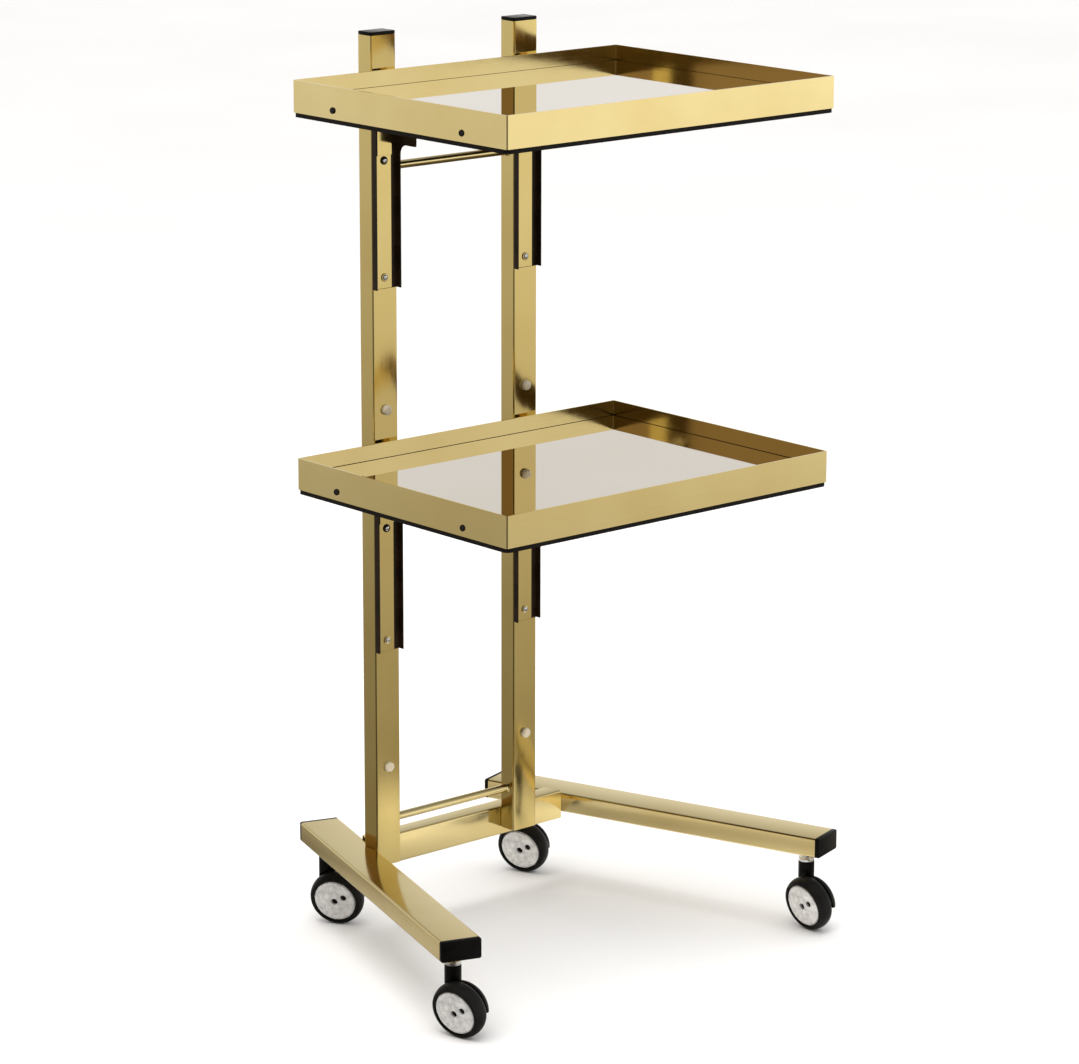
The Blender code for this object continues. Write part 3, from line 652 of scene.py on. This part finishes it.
def build_bumper(level, side):
    node = f"bumper_{level}_{side}"
    low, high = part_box(node)
    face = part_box(f"post_cap_{side}")[0].y
    reach = (face - low.y) / MM
    radius = (high.x - low.x) / 2 / MM
    profile = ((0, reach, 0), (radius * 0.55, reach, 1.5), (radius - 0.2, reach - 0.9, 1.2),
               (radius, 1.2, 0.6), (radius, 0.3, 0), (2.8, 0.3, 0), (2.8, -4, 0.5), (0, -4, 0))
    centre = node_centre(node)
    piece(f"{level}_{side}_bumper", turned(node, profile, PIN_STEPS), PALE, "frame", [node],
          at((centre.x, face, centre.z)) @ FACING_FRONT)


# Trays ----------------------------------------------------------------------------------

BAND_SHEET = 1.5 * MM
SEAM_WIDTH = 0.6 * MM
SEAM_REACH = 1.6 * MM               # diagonally in from the square corner, a groove
SEAM_CORNERS = {"upper": (-1, -1), "lower": (1, 1)}
RIM_SCREW_DROP = 22 * MM            # below the band's top edge
RIM_SCREW_INSETS = (61 * MM, 59 * MM)           # from the band's front and rear ends
BOARD_CORNER = 6 * MM
MIRROR_MARGIN = 1 * MM              # the dark line left between the mirror and the band


def build_band(level):
    """The band: one bent strip of thin sheet, butted at a corner."""
    node = f"{level}_tray_band"
    size = node_size(node)
    outer = rounded_rectangle(size.x, size.y, 2 * MM)
    inner = rounded_rectangle(size.x - 2 * BAND_SHEET, size.y - 2 * BAND_SHEET, 0.7 * MM, 4)
    mesh = extruded(node, [outer, inner], size.z)
    side_x, side_y = SEAM_CORNERS[level]
    slot = block("seam", (SEAM_WIDTH, 2 * SEAM_REACH, size.z * 1.2))
    place = at((side_x * size.x / 2, side_y * size.y / 2, 0)) @ turn(-45 * side_x * side_y, "Z")
    # the eased edges take the darker gold, a painted shade
    piece(f"{level}_rim_band", carved(node, mesh, ("DIFFERENCE", slot, place)), GOLD_BAND,
          f"{level}_tray", [node], at(node_centre(node)), 0.6 * MM, GOLD_EDGE_PAINTED_SHADE)


def build_mirror(level):
    node = f"{level}_tray_mirror"
    size = node_size(node)
    outline = rounded_rectangle(size.x - 2 * MIRROR_MARGIN, size.y - 2 * MIRROR_MARGIN, 2 * MM, 8)
    piece(f"{level}_mirror_plate", extruded(node, [outline], size.z), MIRROR, f"{level}_tray",
          [node], at(node_centre(node)), 0.5 * MM)


def build_board(level):
    """The board inside the band, and its lip, which comes out flush under the band."""
    node = f"{level}_tray_board"
    low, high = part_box(node)
    core_size = node_size(f"{level}_tray_mirror")
    lip_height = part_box(f"{level}_tray_band")[0].z - GAP - low.z
    lip = extruded(node, [rounded_rectangle(high.x - low.x, high.y - low.y, BOARD_CORNER, 12)],
                   lip_height)
    core_height = high.z - low.z - 1 * MM
    core = extruded("core", [rounded_rectangle(core_size.x, core_size.y, 2 * MM)], core_height)
    middle = (low + high) / 2
    middle.z = low.z + lip_height / 2
    core_place = at((0, 0, high.z - core_height / 2 - middle.z))
    piece(f"{level}_floor_board", carved(node, lip, ("UNION", core, core_place)), BOARD,
          f"{level}_tray", [node], at(middle), 0.4 * MM)


def cross_recess(name, head, top, arm, depth):
    """A screw head with a cross-shaped drive recess cut from its top."""
    width = arm * 0.34
    slots = [("DIFFERENCE", block("slot", (arm * 2, width, depth * 2), (0, 0, top)),
              turn(angle, "Z")) for angle in (0, 90)]
    return carved(name, head, *slots)


def screw_head(name, radius, height):
    """A pan head: radius and height in millimetres, standing on its local XY plane."""
    profile = ((0, height, 0), (radius * 0.8, height, 1.4), (radius, 0.5, 0.6), (radius, 0, 0),
               (0, 0, 0))
    return cross_recess(name, turned(name, profile, PIN_STEPS), height * MM, radius * 0.55 * MM,
                        height * 0.5 * MM)


def build_rim_screws(level):
    """Two pan-head screws through each side of the band into the board."""
    low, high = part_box(f"{level}_tray_band")
    for side, sign in SIDES.items():
        for end, y in zip(ENDS, (low.y + RIM_SCREW_INSETS[0], high.y - RIM_SCREW_INSETS[1])):
            x = low.x if side == "left" else high.x
            place = at((x, y, high.z - RIM_SCREW_DROP))
            mesh = screw_head(f"{level}_{end}_{side}_screw", 3.1, 1.8)
            piece(f"{level}_{end}_{side}_rim_screw", mesh, DARK_STEEL_AND_PAINTED_SHADE, f"{level}_tray", (),
                  place @ turn(90 * sign, "Y") @ turn(31 * sign, "Z"))


# Tray hinges ----------------------------------------------------------------------------

ARM_SHEET = 3 * MM
ARM_REACH = 60 * MM
ARM_REAR = 10 * MM
ARM_WIDTH = 20 * MM
ARM_FLANGE = 2 * MM
PIVOT_HOLE = 3.3 * MM
BOLT_RADIUS = 2.95 * MM
BOLT_HEAD_RADIUS = 5 * MM
BRACKET_SHEET = 1 * MM
BLACK_EDGE = 0.3 * MM


def pivot(level):
    return Vector(JOINTS[f"{level}_tray_fold"]["pos_m"])


def build_hinge_arm(level, side):
    """The angle under the board, with its eye round the pivot bolt and two board screws."""
    node = f"{level}_hinge_arm_{side}"
    low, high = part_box(node)
    sign = SIDES[side]
    centre = pivot(level)
    top = high.z - centre.z
    outer = high.x if side == "right" else low.x
    eye = arc((0, 0), 8 * MM, 180, 360, 20)
    outline = eye + [(ARM_REAR, top), (-ARM_REACH, top), (-ARM_REACH, top - 4 * MM),
                     (-24 * MM, top - 4 * MM)]
    plate = extruded(node, [outline, ring(PIVOT_HOLE)], ARM_SHEET)
    plate_place = at((outer - sign * ARM_SHEET / 2, centre.y, centre.z)) @ FACING_SIDE
    overlap = 1 * MM
    flange = block("flange", (ARM_WIDTH - overlap, ARM_REACH + ARM_REAR - 2 * overlap, ARM_FLANGE))
    flange_place = at((outer - sign * (ARM_WIDTH + overlap) / 2,
                       centre.y + (ARM_REAR - ARM_REACH) / 2, high.z - 0.1 * MM - ARM_FLANGE / 2))
    mesh = carved(node, plate, ("UNION", flange, plate_place.inverted() @ flange_place))
    piece(f"{level}_{side}_tray_arm", mesh, BLACK_STEEL, f"{level}_tray", [node], plate_place,
          BLACK_EDGE)
    for end, distance in (("front", ARM_REACH - 10 * MM), ("rear", 0)):
        place = at((outer - sign * 12 * MM, centre.y - distance, high.z - ARM_FLANGE - 0.1 * MM))
        mesh = screw_head(f"{node}_{end}", 3.2, 1.7)
        piece(f"{level}_{end}_{side}_arm_screw", mesh, CHROME, f"{level}_tray", (),
              place @ turn(180, "X"))


def gusset_outline(level, side):
    """The bracket's inner flange and its gusset, seen from the side, around the pivot."""
    low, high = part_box(f"bracket_{level}_{side}")
    centre = pivot(level)
    overhang = 0.2 * MM
    fillet_radius = 9 * MM
    sweep = 18 * MM
    nose = 1.5 * MM
    gusset_front = centre.y - low.y
    gusset_drop = 19 * MM
    back = high.y - centre.y
    tip = 12.6 * MM
    top = high.z - centre.z
    bottom = low.z - centre.z
    fillet = (tip - fillet_radius, -gusset_drop - fillet_radius)
    corner = (-gusset_front + nose, -gusset_drop + nose)
    first = math.degrees(math.asin(top / sweep))
    last = math.degrees(math.acos(gusset_front / sweep))
    outline = [(back - overhang, top), (back - overhang, bottom), (tip, bottom)]
    outline += arc(fillet, fillet_radius, 0, 90, 12)
    outline += arc(corner, nose, 270, 180, 4)
    outline += [(-x, y) for x, y in arc((0, 0), sweep, last, first, 8)]
    return outline


def build_bracket(level, side):
    """A channel on the post's front: web, plain outer flange, and inner flange with gusset."""
    node = f"bracket_{level}_{side}"
    low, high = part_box(node)
    sign = SIDES[side]
    centre = pivot(level)
    inner_x = (high.x if side == "left" else low.x) + sign * BRACKET_SHEET / 2
    plate = extruded(node, [gusset_outline(level, side), ring(PIVOT_HOLE)], BRACKET_SHEET)
    place = at((inner_x, centre.y, centre.z)) @ FACING_SIDE
    half = (high.x - low.x) / 2
    tip = -6.1 * MM
    web_end = -half + BRACKET_SHEET / 2
    outline = [(web_end, 0), (half, 0), (half, tip), (half - BRACKET_SHEET, tip),
               (half - BRACKET_SHEET, -BRACKET_SHEET), (web_end, -BRACKET_SHEET)]
    angle = extruded("angle", [[(sign * x, y) for x, y in outline]], high.z - low.z - 0.4 * MM)
    angle_place = at(((low.x + high.x) / 2, high.y, (low.z + high.z) / 2))
    mesh = carved(node, plate, ("UNION", angle, place.inverted() @ angle_place))
    piece(f"{level}_{side}_post_bracket", mesh, BLACK_STEEL, "frame", [node], place, BLACK_EDGE)


STRIP_SHEET = 0.8 * MM
STRIP_PAD = 1.2 * MM
STRIP_PAD_LENGTH = 45 * MM
STRIP_RELIEF = 4.4 * MM             # taken off the right-hand edge, where the channel shows dark
STRIP_SCREW_DROPS = (50 * MM, 161.5 * MM)       # below the strip's top
STRIP_BUSH = ((2.1, 0.05, 0), (4, 0.05, 0), (4, 0.9, 0.4), (3.2, 1.1, 0.3), (2.1, 0.5, 0.3))
STRIP_SCREW = ((0, 1.9, 0), (1.4, 1.9, 0.6), (2.6, 1.35, 0.5), (2.6, 1.15, 0), (2, 0.1, 0),
               (0, 0.1, 0))
STRIP_SCREW_TOP = 1.9 * MM
STRIP_SCREW_ARM = 1.5 * MM
STRIP_SCREW_RECESS = 0.8 * MM


def build_strip(level, side):
    """The bright strip in the channel, thicker at its top, with a bushed screw at each end."""
    node = f"bracket_strip_{level}_{side}"
    low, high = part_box(node)
    width = high.x - low.x - STRIP_RELIEF
    centre_x = (low.x + high.x - STRIP_RELIEF) / 2
    plate = block(node, (width, STRIP_SHEET, high.z - low.z))
    middle = Vector((centre_x, high.y - STRIP_SHEET / 2, (low.z + high.z) / 2))
    depth = STRIP_PAD + STRIP_SHEET / 2
    pad = block("pad", (width, depth, STRIP_PAD_LENGTH))
    pad_place = at((0, -STRIP_SHEET / 2 - STRIP_PAD + depth / 2,
                    (high.z - low.z - STRIP_PAD_LENGTH) / 2))
    steps = [("UNION", pad, pad_place)]
    face = high.y - STRIP_SHEET
    # painted shade: the strip takes the darker copy of the gold
    piece(f"{level}_{side}_channel_strip", carved(node, plate, *steps), GOLD_POST_PAINTED_SHADE, "frame",
          [node], at(middle), 0.3 * MM)
    for end, drop in zip(("upper", "lower"), STRIP_SCREW_DROPS):
        place = at((centre_x, face, high.z - drop)) @ FACING_FRONT
        bush = turned(f"{node}_{end}_bush", STRIP_BUSH, PIN_STEPS)
        piece(f"{level}_{side}_{end}_strip_bush", bush,
              BLACK_STEEL if end == "upper" else GOLD_TUBE, "frame", (), place)
        head = turned(f"{node}_{end}", STRIP_SCREW, PIN_STEPS)
        screw = cross_recess(f"{node}_{end}", head, STRIP_SCREW_TOP, STRIP_SCREW_ARM,
                             STRIP_SCREW_RECESS)
        piece(f"{level}_{side}_{end}_strip_screw", screw, CHROME, "frame", (),
              place @ turn(20, "Z"))


def build_pivot_bolt(level, side):
    """A hexagon bolt through gusset and arm, with a lock nut inside."""
    node = f"pivot_bolt_{level}_{side}"
    low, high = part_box(node)
    sign = SIDES[side]
    arm_low, arm_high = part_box(f"{level}_hinge_arm_{side}")
    outer_arm = arm_high.x if side == "right" else arm_low.x
    head_seat = outer_arm + sign * (2 * GAP + BRACKET_SHEET)
    nut_seat = outer_arm - sign * (ARM_SHEET + GAP)
    reach = high.x if side == "right" else low.x
    end = low.x if side == "right" else high.x
    along = turn(90 * sign, "Y")
    shank = prism(node, BOLT_RADIUS, -abs(head_seat - end) + 0.4 * MM, 0.5 * MM, PIN_STEPS)
    head_height = abs(reach - head_seat)
    head = hexagon(f"{node}_head", BOLT_HEAD_RADIUS, head_height)
    nut_height = abs(nut_seat - end)
    nut = hexagon(f"{node}_nut", BOLT_HEAD_RADIUS, nut_height)
    nut_place = at((0, 0, -abs(head_seat - nut_seat))) @ turn(180, "X")
    mesh = carved(node, shank, ("UNION", head, None), ("UNION", nut, nut_place))
    piece(f"{level}_{side}_pivot_bolt", mesh, CHROME, "frame", [node],
          at((head_seat, pivot(level).y, pivot(level).z)) @ along)


def hexagon(name, radius, height):
    """A hexagon standing on its local XY plane, with its outer corners turned off."""
    body = prism(name, radius, 0, height, 6)
    tall = height / MM
    corner = radius / MM
    profile = ((0, tall, 0), (corner * 0.84, tall, 0), (corner * 1.02, tall - 0.9, 0),
               (corner * 1.02, -0.5, 0), (0, -0.5, 0))
    dome = turned(f"{name}_turned", profile, PIN_STEPS)
    return carved(name, body, ("INTERSECT", dome, None))


# Casters --------------------------------------------------------------------------------

TYRE_CORNERS = (
    (6.2, 6.5, 0), (22, 6.5, 0.3), (22.3, 8.4, 0.5), (23.4, 8.75, 0.6), (25.2, 8, 1.2),
    (26.9, 4.6, 2), (27.5, 1.5, 1.5), (27.5, -1.2, 1.5), (27, -4.6, 2), (25.2, -8, 1.2),
    (23.6, -8.75, 0.7), (20, -8.75, 0.5), (18.5, -7.4, 0.6), (9, -7.4, 0.6), (7.5, -8.75, 0.5),
    (3.3, -8.75, 0), (3.3, 3.8, 0), (6.2, 3.8, 0),
)
HUB_CORNERS = (
    (3.3, 6.8, 0), (3.3, 9.2, 0.3), (4.8, 9.4, 0.5), (6.4, 9.05, 0.5), (12, 8.8, 2),
    (17.4, 8.2, 0.8), (18.4, 8.6, 0.5), (20.4, 8.2, 0.6), (21.5, 7.2, 0.4), (21.4, 6.8, 0),
)
KEY_HOLE = 3.2 * MM
KEY_HOLE_PLACE = (4.9 * MM, -9.6 * MM, 0)
STEM_CORNERS = (
    (0, 15, 0), (4.4, 15, 0.8), (5, 13.6, 0.3), (5, -0.3, 0), (6.4, -0.3, 0.3), (6.8, -1, 0.3),
    (6.8, -6.3, 0.4), (7.8, -7.2, 0.6), (7.8, -10.6, 0.5), (7, -11, 0), (3.5, -11, 0),
    (3.5, -24.4, 0.4), (3, -25, 0), (0, -25, 0),
)
AXLE_CORNERS = (
    (0, 5.6, 0), (4.2, 5.6, 0.9), (5, 4.9, 0.2), (5, 4.2, 0), (3, 4.2, 0), (3, -18.6, 0),
    (0, -18.6, 0),
)
HOOD_RADIUS = 25                    # the hood's own numbers are in millimetres along the axle
HOOD_WALL = 2
HOOD_LIP = -9.6
HOOD_DEPTH = 13
BOSS_RADIUS = 6
BOSS_FRONT = -8
BOSS_BACK = -21.5
AXLE_HOLE_RADIUS = 3.3
AXLE_HOLE_END = -18.9
WHEEL_SPACE = 28.6
WHEEL_FACE = -9.3
NECK_RADIUS = 8 * MM
NECK_BOTTOM = 40 * MM
STEM_BORE = 3.8 * MM
STEM_BORE_END = 51.6 * MM


def dome_corners(radius, depth):
    """Half the hood's section from the middle of its open side out and round to its pole."""
    corners = [(0, HOOD_LIP, 0)]
    steps = 18
    for step in range(steps):
        angle = math.radians(90 * step / steps)
        corners.append((radius * math.cos(angle), HOOD_LIP - depth * math.sin(angle), 0))
    return corners + [(0, HOOD_LIP - depth, 0)]


def caster_frames(prefix):
    """The swivel's upright frame and the wheel's frame, whose Z is the axle's outer end."""
    swivel_joint = JOINTS[f"{prefix}_swivel"]
    roll_joint = JOINTS[f"{prefix}_roll"]
    axis = Vector(roll_joint["axis"])
    yaw = math.atan2(-axis.y, -axis.x)
    tilt = math.asin(-axis.z)
    heading = Matrix.Rotation(yaw, 4, "Z")
    swivel = at(swivel_joint["pos_m"]) @ heading
    wheel = at(roll_joint["pos_m"]) @ heading @ Matrix.Rotation(-math.pi / 2 - tilt, 4, "Y")
    return swivel, wheel


def build_hood(prefix, swivel, wheel):
    """The hood: half a dome behind the wheel, a boss for the axle and a neck for the stem."""
    to_wheel = wheel.inverted()
    centre = wheel.translation
    name = f"{prefix}_cover"
    dome = turned(name, dome_corners(HOOD_RADIUS, HOOD_DEPTH))
    inner = dome_corners(HOOD_RADIUS - HOOD_WALL, HOOD_DEPTH - HOOD_WALL)
    cavity = turned("cavity", [(0, 0, 0), (HOOD_RADIUS - HOOD_WALL, 0, 0)] + inner[1:])
    lower = block("open_side", (100 * MM, 100 * MM, 60 * MM), (0, 0, -31 * MM))
    lower_place = to_wheel @ at(centre) @ swivel.to_3x3().to_4x4()
    boss = barrel("boss", BOSS_RADIUS, BOSS_FRONT, BOSS_BACK)
    neck_top = swivel.translation.z
    neck = prism("neck", NECK_RADIUS, NECK_BOTTOM - neck_top, 0, 48)
    space = barrel("space", WHEEL_SPACE, 20, WHEEL_FACE, ROUND_STEPS)
    bore = prism("bore", STEM_BORE, STEM_BORE_END - neck_top, 10 * MM, PIN_STEPS)
    axle_hole = barrel("axle_hole", AXLE_HOLE_RADIUS, 0, AXLE_HOLE_END)
    upright = to_wheel @ swivel
    mesh = carved(name, dome, ("DIFFERENCE", cavity, None), ("DIFFERENCE", lower, lower_place),
                  ("UNION", boss, None), ("UNION", neck, upright), ("DIFFERENCE", space, None),
                  ("DIFFERENCE", bore, upright), ("DIFFERENCE", axle_hole, None))
    piece(name, mesh, PLASTIC, f"{prefix}_fork", [f"{prefix}_hood"], wheel, 0.4 * MM)


def build_hub_cap(prefix, wheel):
    """The pressed cap on the wheel's face, with its centre hole and its small key hole."""
    name = f"{prefix}_wheel_cap"
    cap = turned(name, HUB_CORNERS, 96)
    key_hole = prism("key_hole", KEY_HOLE, 5 * MM, 12 * MM, 32)
    mesh = carved(name, cap, ("DIFFERENCE", key_hole, at(KEY_HOLE_PLACE)))
    piece(name, mesh, HUB, f"{prefix}_wheel", [f"{prefix}_hub_cap"], wheel)


def build_caster(end, side):
    prefix = f"caster_{end}_{side}"
    swivel, wheel = caster_frames(prefix)
    leg_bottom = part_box(f"leg_{side}")[0].z
    stem_place = Vector((swivel.translation.x, swivel.translation.y, leg_bottom))
    piece(f"{prefix}_pin", turned(f"{prefix}_pin", STEM_CORNERS, 48), CHROME, "frame",
          [f"{prefix}_stem"], at(stem_place))
    build_hood(prefix, swivel, wheel)
    # painted shade: the axle is near black, so its end seen in the cap's hole reads as a dark hole
    piece(f"{prefix}_wheel_axle", turned(f"{prefix}_wheel_axle", AXLE_CORNERS, PIN_STEPS),
          DARK_STEEL_AND_PAINTED_SHADE, f"{prefix}_fork", [f"{prefix}_axle"], wheel)
    piece(f"{prefix}_tread", turned(f"{prefix}_tread", TYRE_CORNERS, 96), TYRE, f"{prefix}_wheel",
          [f"{prefix}_tyre"], wheel)
    build_hub_cap(prefix, wheel)


def build_trolley():
    build_crossbar()
    for side in SIDES:
        build_leg(side)
        build_leg_caps(side)
        build_post(side)
        build_post_cap(side)
        for end in ENDS:
            build_caster(end, side)
    for level in LEVELS:
        build_cross_rod(level)
        build_band(level)
        build_mirror(level)
        build_board(level)
        build_rim_screws(level)
        for side in SIDES:
            build_hinge_arm(level, side)
            build_bracket(level, side)
            build_strip(level, side)
            build_pivot_bolt(level, side)
            build_bumper(level, side)


# Studio ---------------------------------------------------------------------------------

CAMERA_PLACE = (-2.5081, -2.8690, 1.3645)
CAMERA_HEADING = -41.109
CAMERA_PITCH = -14.004
CAMERA_ROLL = 0.124
CAMERA_LENS = 136.0
FLOOR_REACH = 30.0
SKY_STRENGTH = 2.8
SKY_SPREAD = 130                    # degrees
SOFTBOX_OFFSET = (-0.6, -0.3, 2.6)  # from the middle of the trolley
SOFTBOX_SIZE = 2.4
SOFTBOX_POWER = 60
NEAR_FLOOR_START = 0.27             # distances from the middle, where the reflected floor fades
NEAR_FLOOR_END = 0.42
NEAR_FLOOR_SIDE = (-0.05, 0.15)     # across the base, from its weaker side to its full side
NEAR_FLOOR_WEAK = 0.35

# Brightness of the surroundings by the sine of the height above the horizon.
SURROUND = (
    (-0.50, (0.10, 0.08, 0.055)),
    (-0.36, (0.30, 0.265, 0.205)),
    (-0.27, (0.46, 0.42, 0.35)),
    (-0.20, (0.78, 0.73, 0.66)),
    (-0.13, (1.08, 1.05, 1.00)),
    (0.00, (1.10, 1.09, 1.07)),
    (0.16, (0.90, 0.89, 0.88)),
    (0.33, (0.68, 0.67, 0.66)),
    (0.50, (0.42, 0.42, 0.42)),
    (1.00, (0.26, 0.26, 0.26)),
)
BRIGHT_SIDE = (0.656, -0.755, 0.0)  # level direction towards the brightest part of the room
DARK_SIDE = (-0.656, -0.755, 0.0)   # and towards the dark end of the room
DIM_FLOOR = (0.69, 0.69, 0.69)
FULL = (1.0, 1.0, 1.0)
WARM_WALL = (0.29, 0.20, 0.10)
PALE_WALL = (0.93, 0.93, 0.93)
FLOOR_SPAN = (-0.9, 0.9)            # cosine towards the bright side, from dim floor to full
WALL_SPAN = (-0.5, 0.2)             # along X, from the warm wall to the pale one
HORIZON_SPAN = (-0.02, 0.06)        # height over which the floor's side gives way to the wall
DARK_SPAN = (0.6, 0.85)             # cosine towards the dark side, where the dark end starts
DARK_LEVEL = 0.22                   # and how bright it stays


class RoomNodes(Nodes):
    """The world's nodes, with the colour and vector arithmetic of the room's shading."""

    def eased(self, value, low, high, span):
        """The value eased from low to high over the (start, end) span."""
        return self.spread(value, low, high, *span, interpolation_type="SMOOTHSTEP")

    def blend(self, factor, start, end):
        """A mix of two colours, each given as a constant or as a socket."""
        node = self.add("ShaderNodeMix", data_type="RGBA")
        self.link(factor, node.inputs["Factor"])
        for index, color in ((6, start), (7, end)):
            if isinstance(color, tuple):
                node.inputs[index].default_value = (*color, 1)
            else:
                self.link(color, node.inputs[index])
        return node.outputs[2]

    def towards(self, direction, axis):
        """The cosine of the angle between a direction and a fixed axis."""
        node = self.add("ShaderNodeVectorMath", operation="DOT_PRODUCT")
        node.inputs[1].default_value = axis
        self.link(direction, node.inputs[0])
        return node.outputs["Value"]

    def product(self, vector, other, operation="MULTIPLY", socket=1):
        node = self.add("ShaderNodeVectorMath", operation=operation)
        self.link(vector, node.inputs[0])
        self.link(other, node.inputs[socket])
        return node.outputs["Vector"]

    def gradient(self, height, surround):
        """The colour at a height, from (height, colour) stops."""
        lowest = surround[0][0]
        highest = surround[-1][0]
        ramp = self.add("ShaderNodeValToRGB")
        stops = ramp.color_ramp.elements
        for sine, _ in surround[1:-1]:
            stops.new((sine - lowest) / (highest - lowest))
        for stop, (_, color) in zip(stops, surround):
            stop.color = (*color, 1)
        self.link(self.spread(height, 0.0, 1.0, lowest, highest), ramp.inputs["Fac"])
        return ramp.outputs["Color"]


def build_world():
    """A soft room: bright at the horizon, darker towards the floor and on one side."""
    world = bpy.data.worlds.new("studio")
    bpy.context.scene.world = world
    world.use_nodes = True
    world.node_tree.nodes.clear()
    nodes = RoomNodes(world.node_tree)
    direction = nodes.add("ShaderNodeTexCoord").outputs["Generated"]
    parts = nodes.add("ShaderNodeSeparateXYZ")
    nodes.link(direction, parts.inputs["Vector"])
    height = parts.outputs["Z"]

    facing = nodes.towards(direction, BRIGHT_SIDE)
    low_side = nodes.blend(nodes.eased(facing, 0.0, 1.0, FLOOR_SPAN), DIM_FLOOR, FULL)
    high_side = nodes.blend(nodes.eased(parts.outputs["X"], 0.0, 1.0, WALL_SPAN),
                            WARM_WALL, PALE_WALL)
    side = nodes.blend(nodes.eased(height, 0.0, 1.0, HORIZON_SPAN), low_side, high_side)
    dark_end = nodes.eased(nodes.towards(direction, DARK_SIDE), 1.0, DARK_LEVEL, DARK_SPAN)
    lit = nodes.product(nodes.gradient(height, SURROUND), side)
    shaded = nodes.product(lit, dark_end, "SCALE", "Scale")

    room = nodes.add("ShaderNodeBackground")
    nodes.link(shaded, room.inputs["Color"])
    backdrop = nodes.add("ShaderNodeBackground")
    backdrop.inputs["Color"].default_value = (1, 1, 1, 1)
    seen = nodes.add("ShaderNodeMixShader")
    nodes.link(nodes.add("ShaderNodeLightPath").outputs["Is Camera Ray"], seen.inputs["Fac"])
    nodes.link(room.outputs["Background"], seen.inputs[1])
    nodes.link(backdrop.outputs["Background"], seen.inputs[2])
    output = nodes.add("ShaderNodeOutputWorld")
    nodes.link(seen.outputs["Shader"], output.inputs["Surface"])


def placed(name, data):
    """A new object of the studio, which no body carries."""
    thing = bpy.data.objects.new(name, data)
    bpy.context.scene.collection.objects.link(thing)
    return thing


def floor_finish(name, dark, light, specular):
    finish = Finish(name, "floor", specular_ior_level=specular)
    cloud = finish.noise(1.5, detail=2.0)
    finish.color(cloud, dark, light)
    finish.gloss(finish.spread(cloud, 0.6, 0.7))
    return finish


def build_floor():
    finish = floor_finish("pale_floor", (0.88, 0.875, 0.87), (0.90, 0.895, 0.89), 0.2)
    shape = bmesh.new()
    bmesh.ops.create_grid(shape, x_segments=8, y_segments=8, size=FLOOR_REACH)
    floor = placed("floor", mesh_from("floor", shape))
    floor.location.z = cad_low.z
    floor.data.materials.append(finish.material)
    floor.visible_glossy = False        # the room's own gradient is what the metal reflects


def build_near_floor():
    """The floor round the base as the metal reflects it, fading out into the room."""
    finish = floor_finish("near_floor", (0.88, 0.86, 0.82), (0.90, 0.88, 0.84), 0.1)
    distance = finish.add("ShaderNodeVectorMath", operation="LENGTH")
    finish.link(finish.coordinates, distance.inputs[0])
    fade = finish.spread(distance.outputs["Value"], 1.0, 0.0, NEAR_FLOOR_START, NEAR_FLOOR_END)
    across = finish.add("ShaderNodeSeparateXYZ")
    finish.link(finish.coordinates, across.inputs["Vector"])
    side = finish.spread(across.outputs["X"], NEAR_FLOOR_WEAK, 1.0, *NEAR_FLOOR_SIDE)
    strength = finish.add("ShaderNodeMath", operation="MULTIPLY")
    finish.link(fade, strength.inputs[0])
    finish.link(side, strength.inputs[1])
    finish.link(strength.outputs["Value"], finish.shader.inputs["Alpha"])
    shape = bmesh.new()
    bmesh.ops.create_circle(shape, cap_ends=True, segments=96, radius=NEAR_FLOOR_END)
    disc = placed("near_floor", mesh_from("near_floor", shape))
    disc.location.z = cad_low.z + 0.1 * MM
    disc.data.materials.append(finish.material)
    disc.visible_camera = False
    disc.visible_diffuse = False
    disc.visible_shadow = False


def add_skylight(name, strength, spread):
    """A wide, soft light from straight above that the metal does not reflect."""
    light = bpy.data.lights.new(name, "SUN")
    light.energy = strength
    light.angle = math.radians(spread)
    placed(name, light).visible_glossy = False


def add_softbox(name, place, target, size, power):
    light = bpy.data.lights.new(name, "AREA")
    light.shape = "SQUARE"
    light.size = size
    light.energy = power
    box = placed(name, light)
    box.location = place
    box.visible_glossy = False
    box.rotation_euler = (Vector(target) - Vector(place)).to_track_quat("-Z", "Y").to_euler()


def build_camera():
    camera = placed("camera", bpy.data.cameras.new("camera"))
    camera.data.lens = CAMERA_LENS
    camera.data.clip_end = 100
    camera.location = CAMERA_PLACE
    rotation = turn(CAMERA_HEADING, "Z") @ turn(90 + CAMERA_PITCH, "X") @ turn(CAMERA_ROLL, "Z")
    camera.rotation_euler = rotation.to_euler()
    bpy.context.scene.camera = camera


def build_studio():
    middle = (cad_low + cad_high) / 2
    build_world()
    build_floor()
    build_near_floor()
    add_skylight("skylight", SKY_STRENGTH, SKY_SPREAD)
    add_softbox("overhead_softbox", middle + Vector(SOFTBOX_OFFSET), middle, SOFTBOX_SIZE,
                SOFTBOX_POWER)
    build_camera()
    bpy.context.scene.view_settings.view_transform = "Standard"


build_trolley()
build_studio()
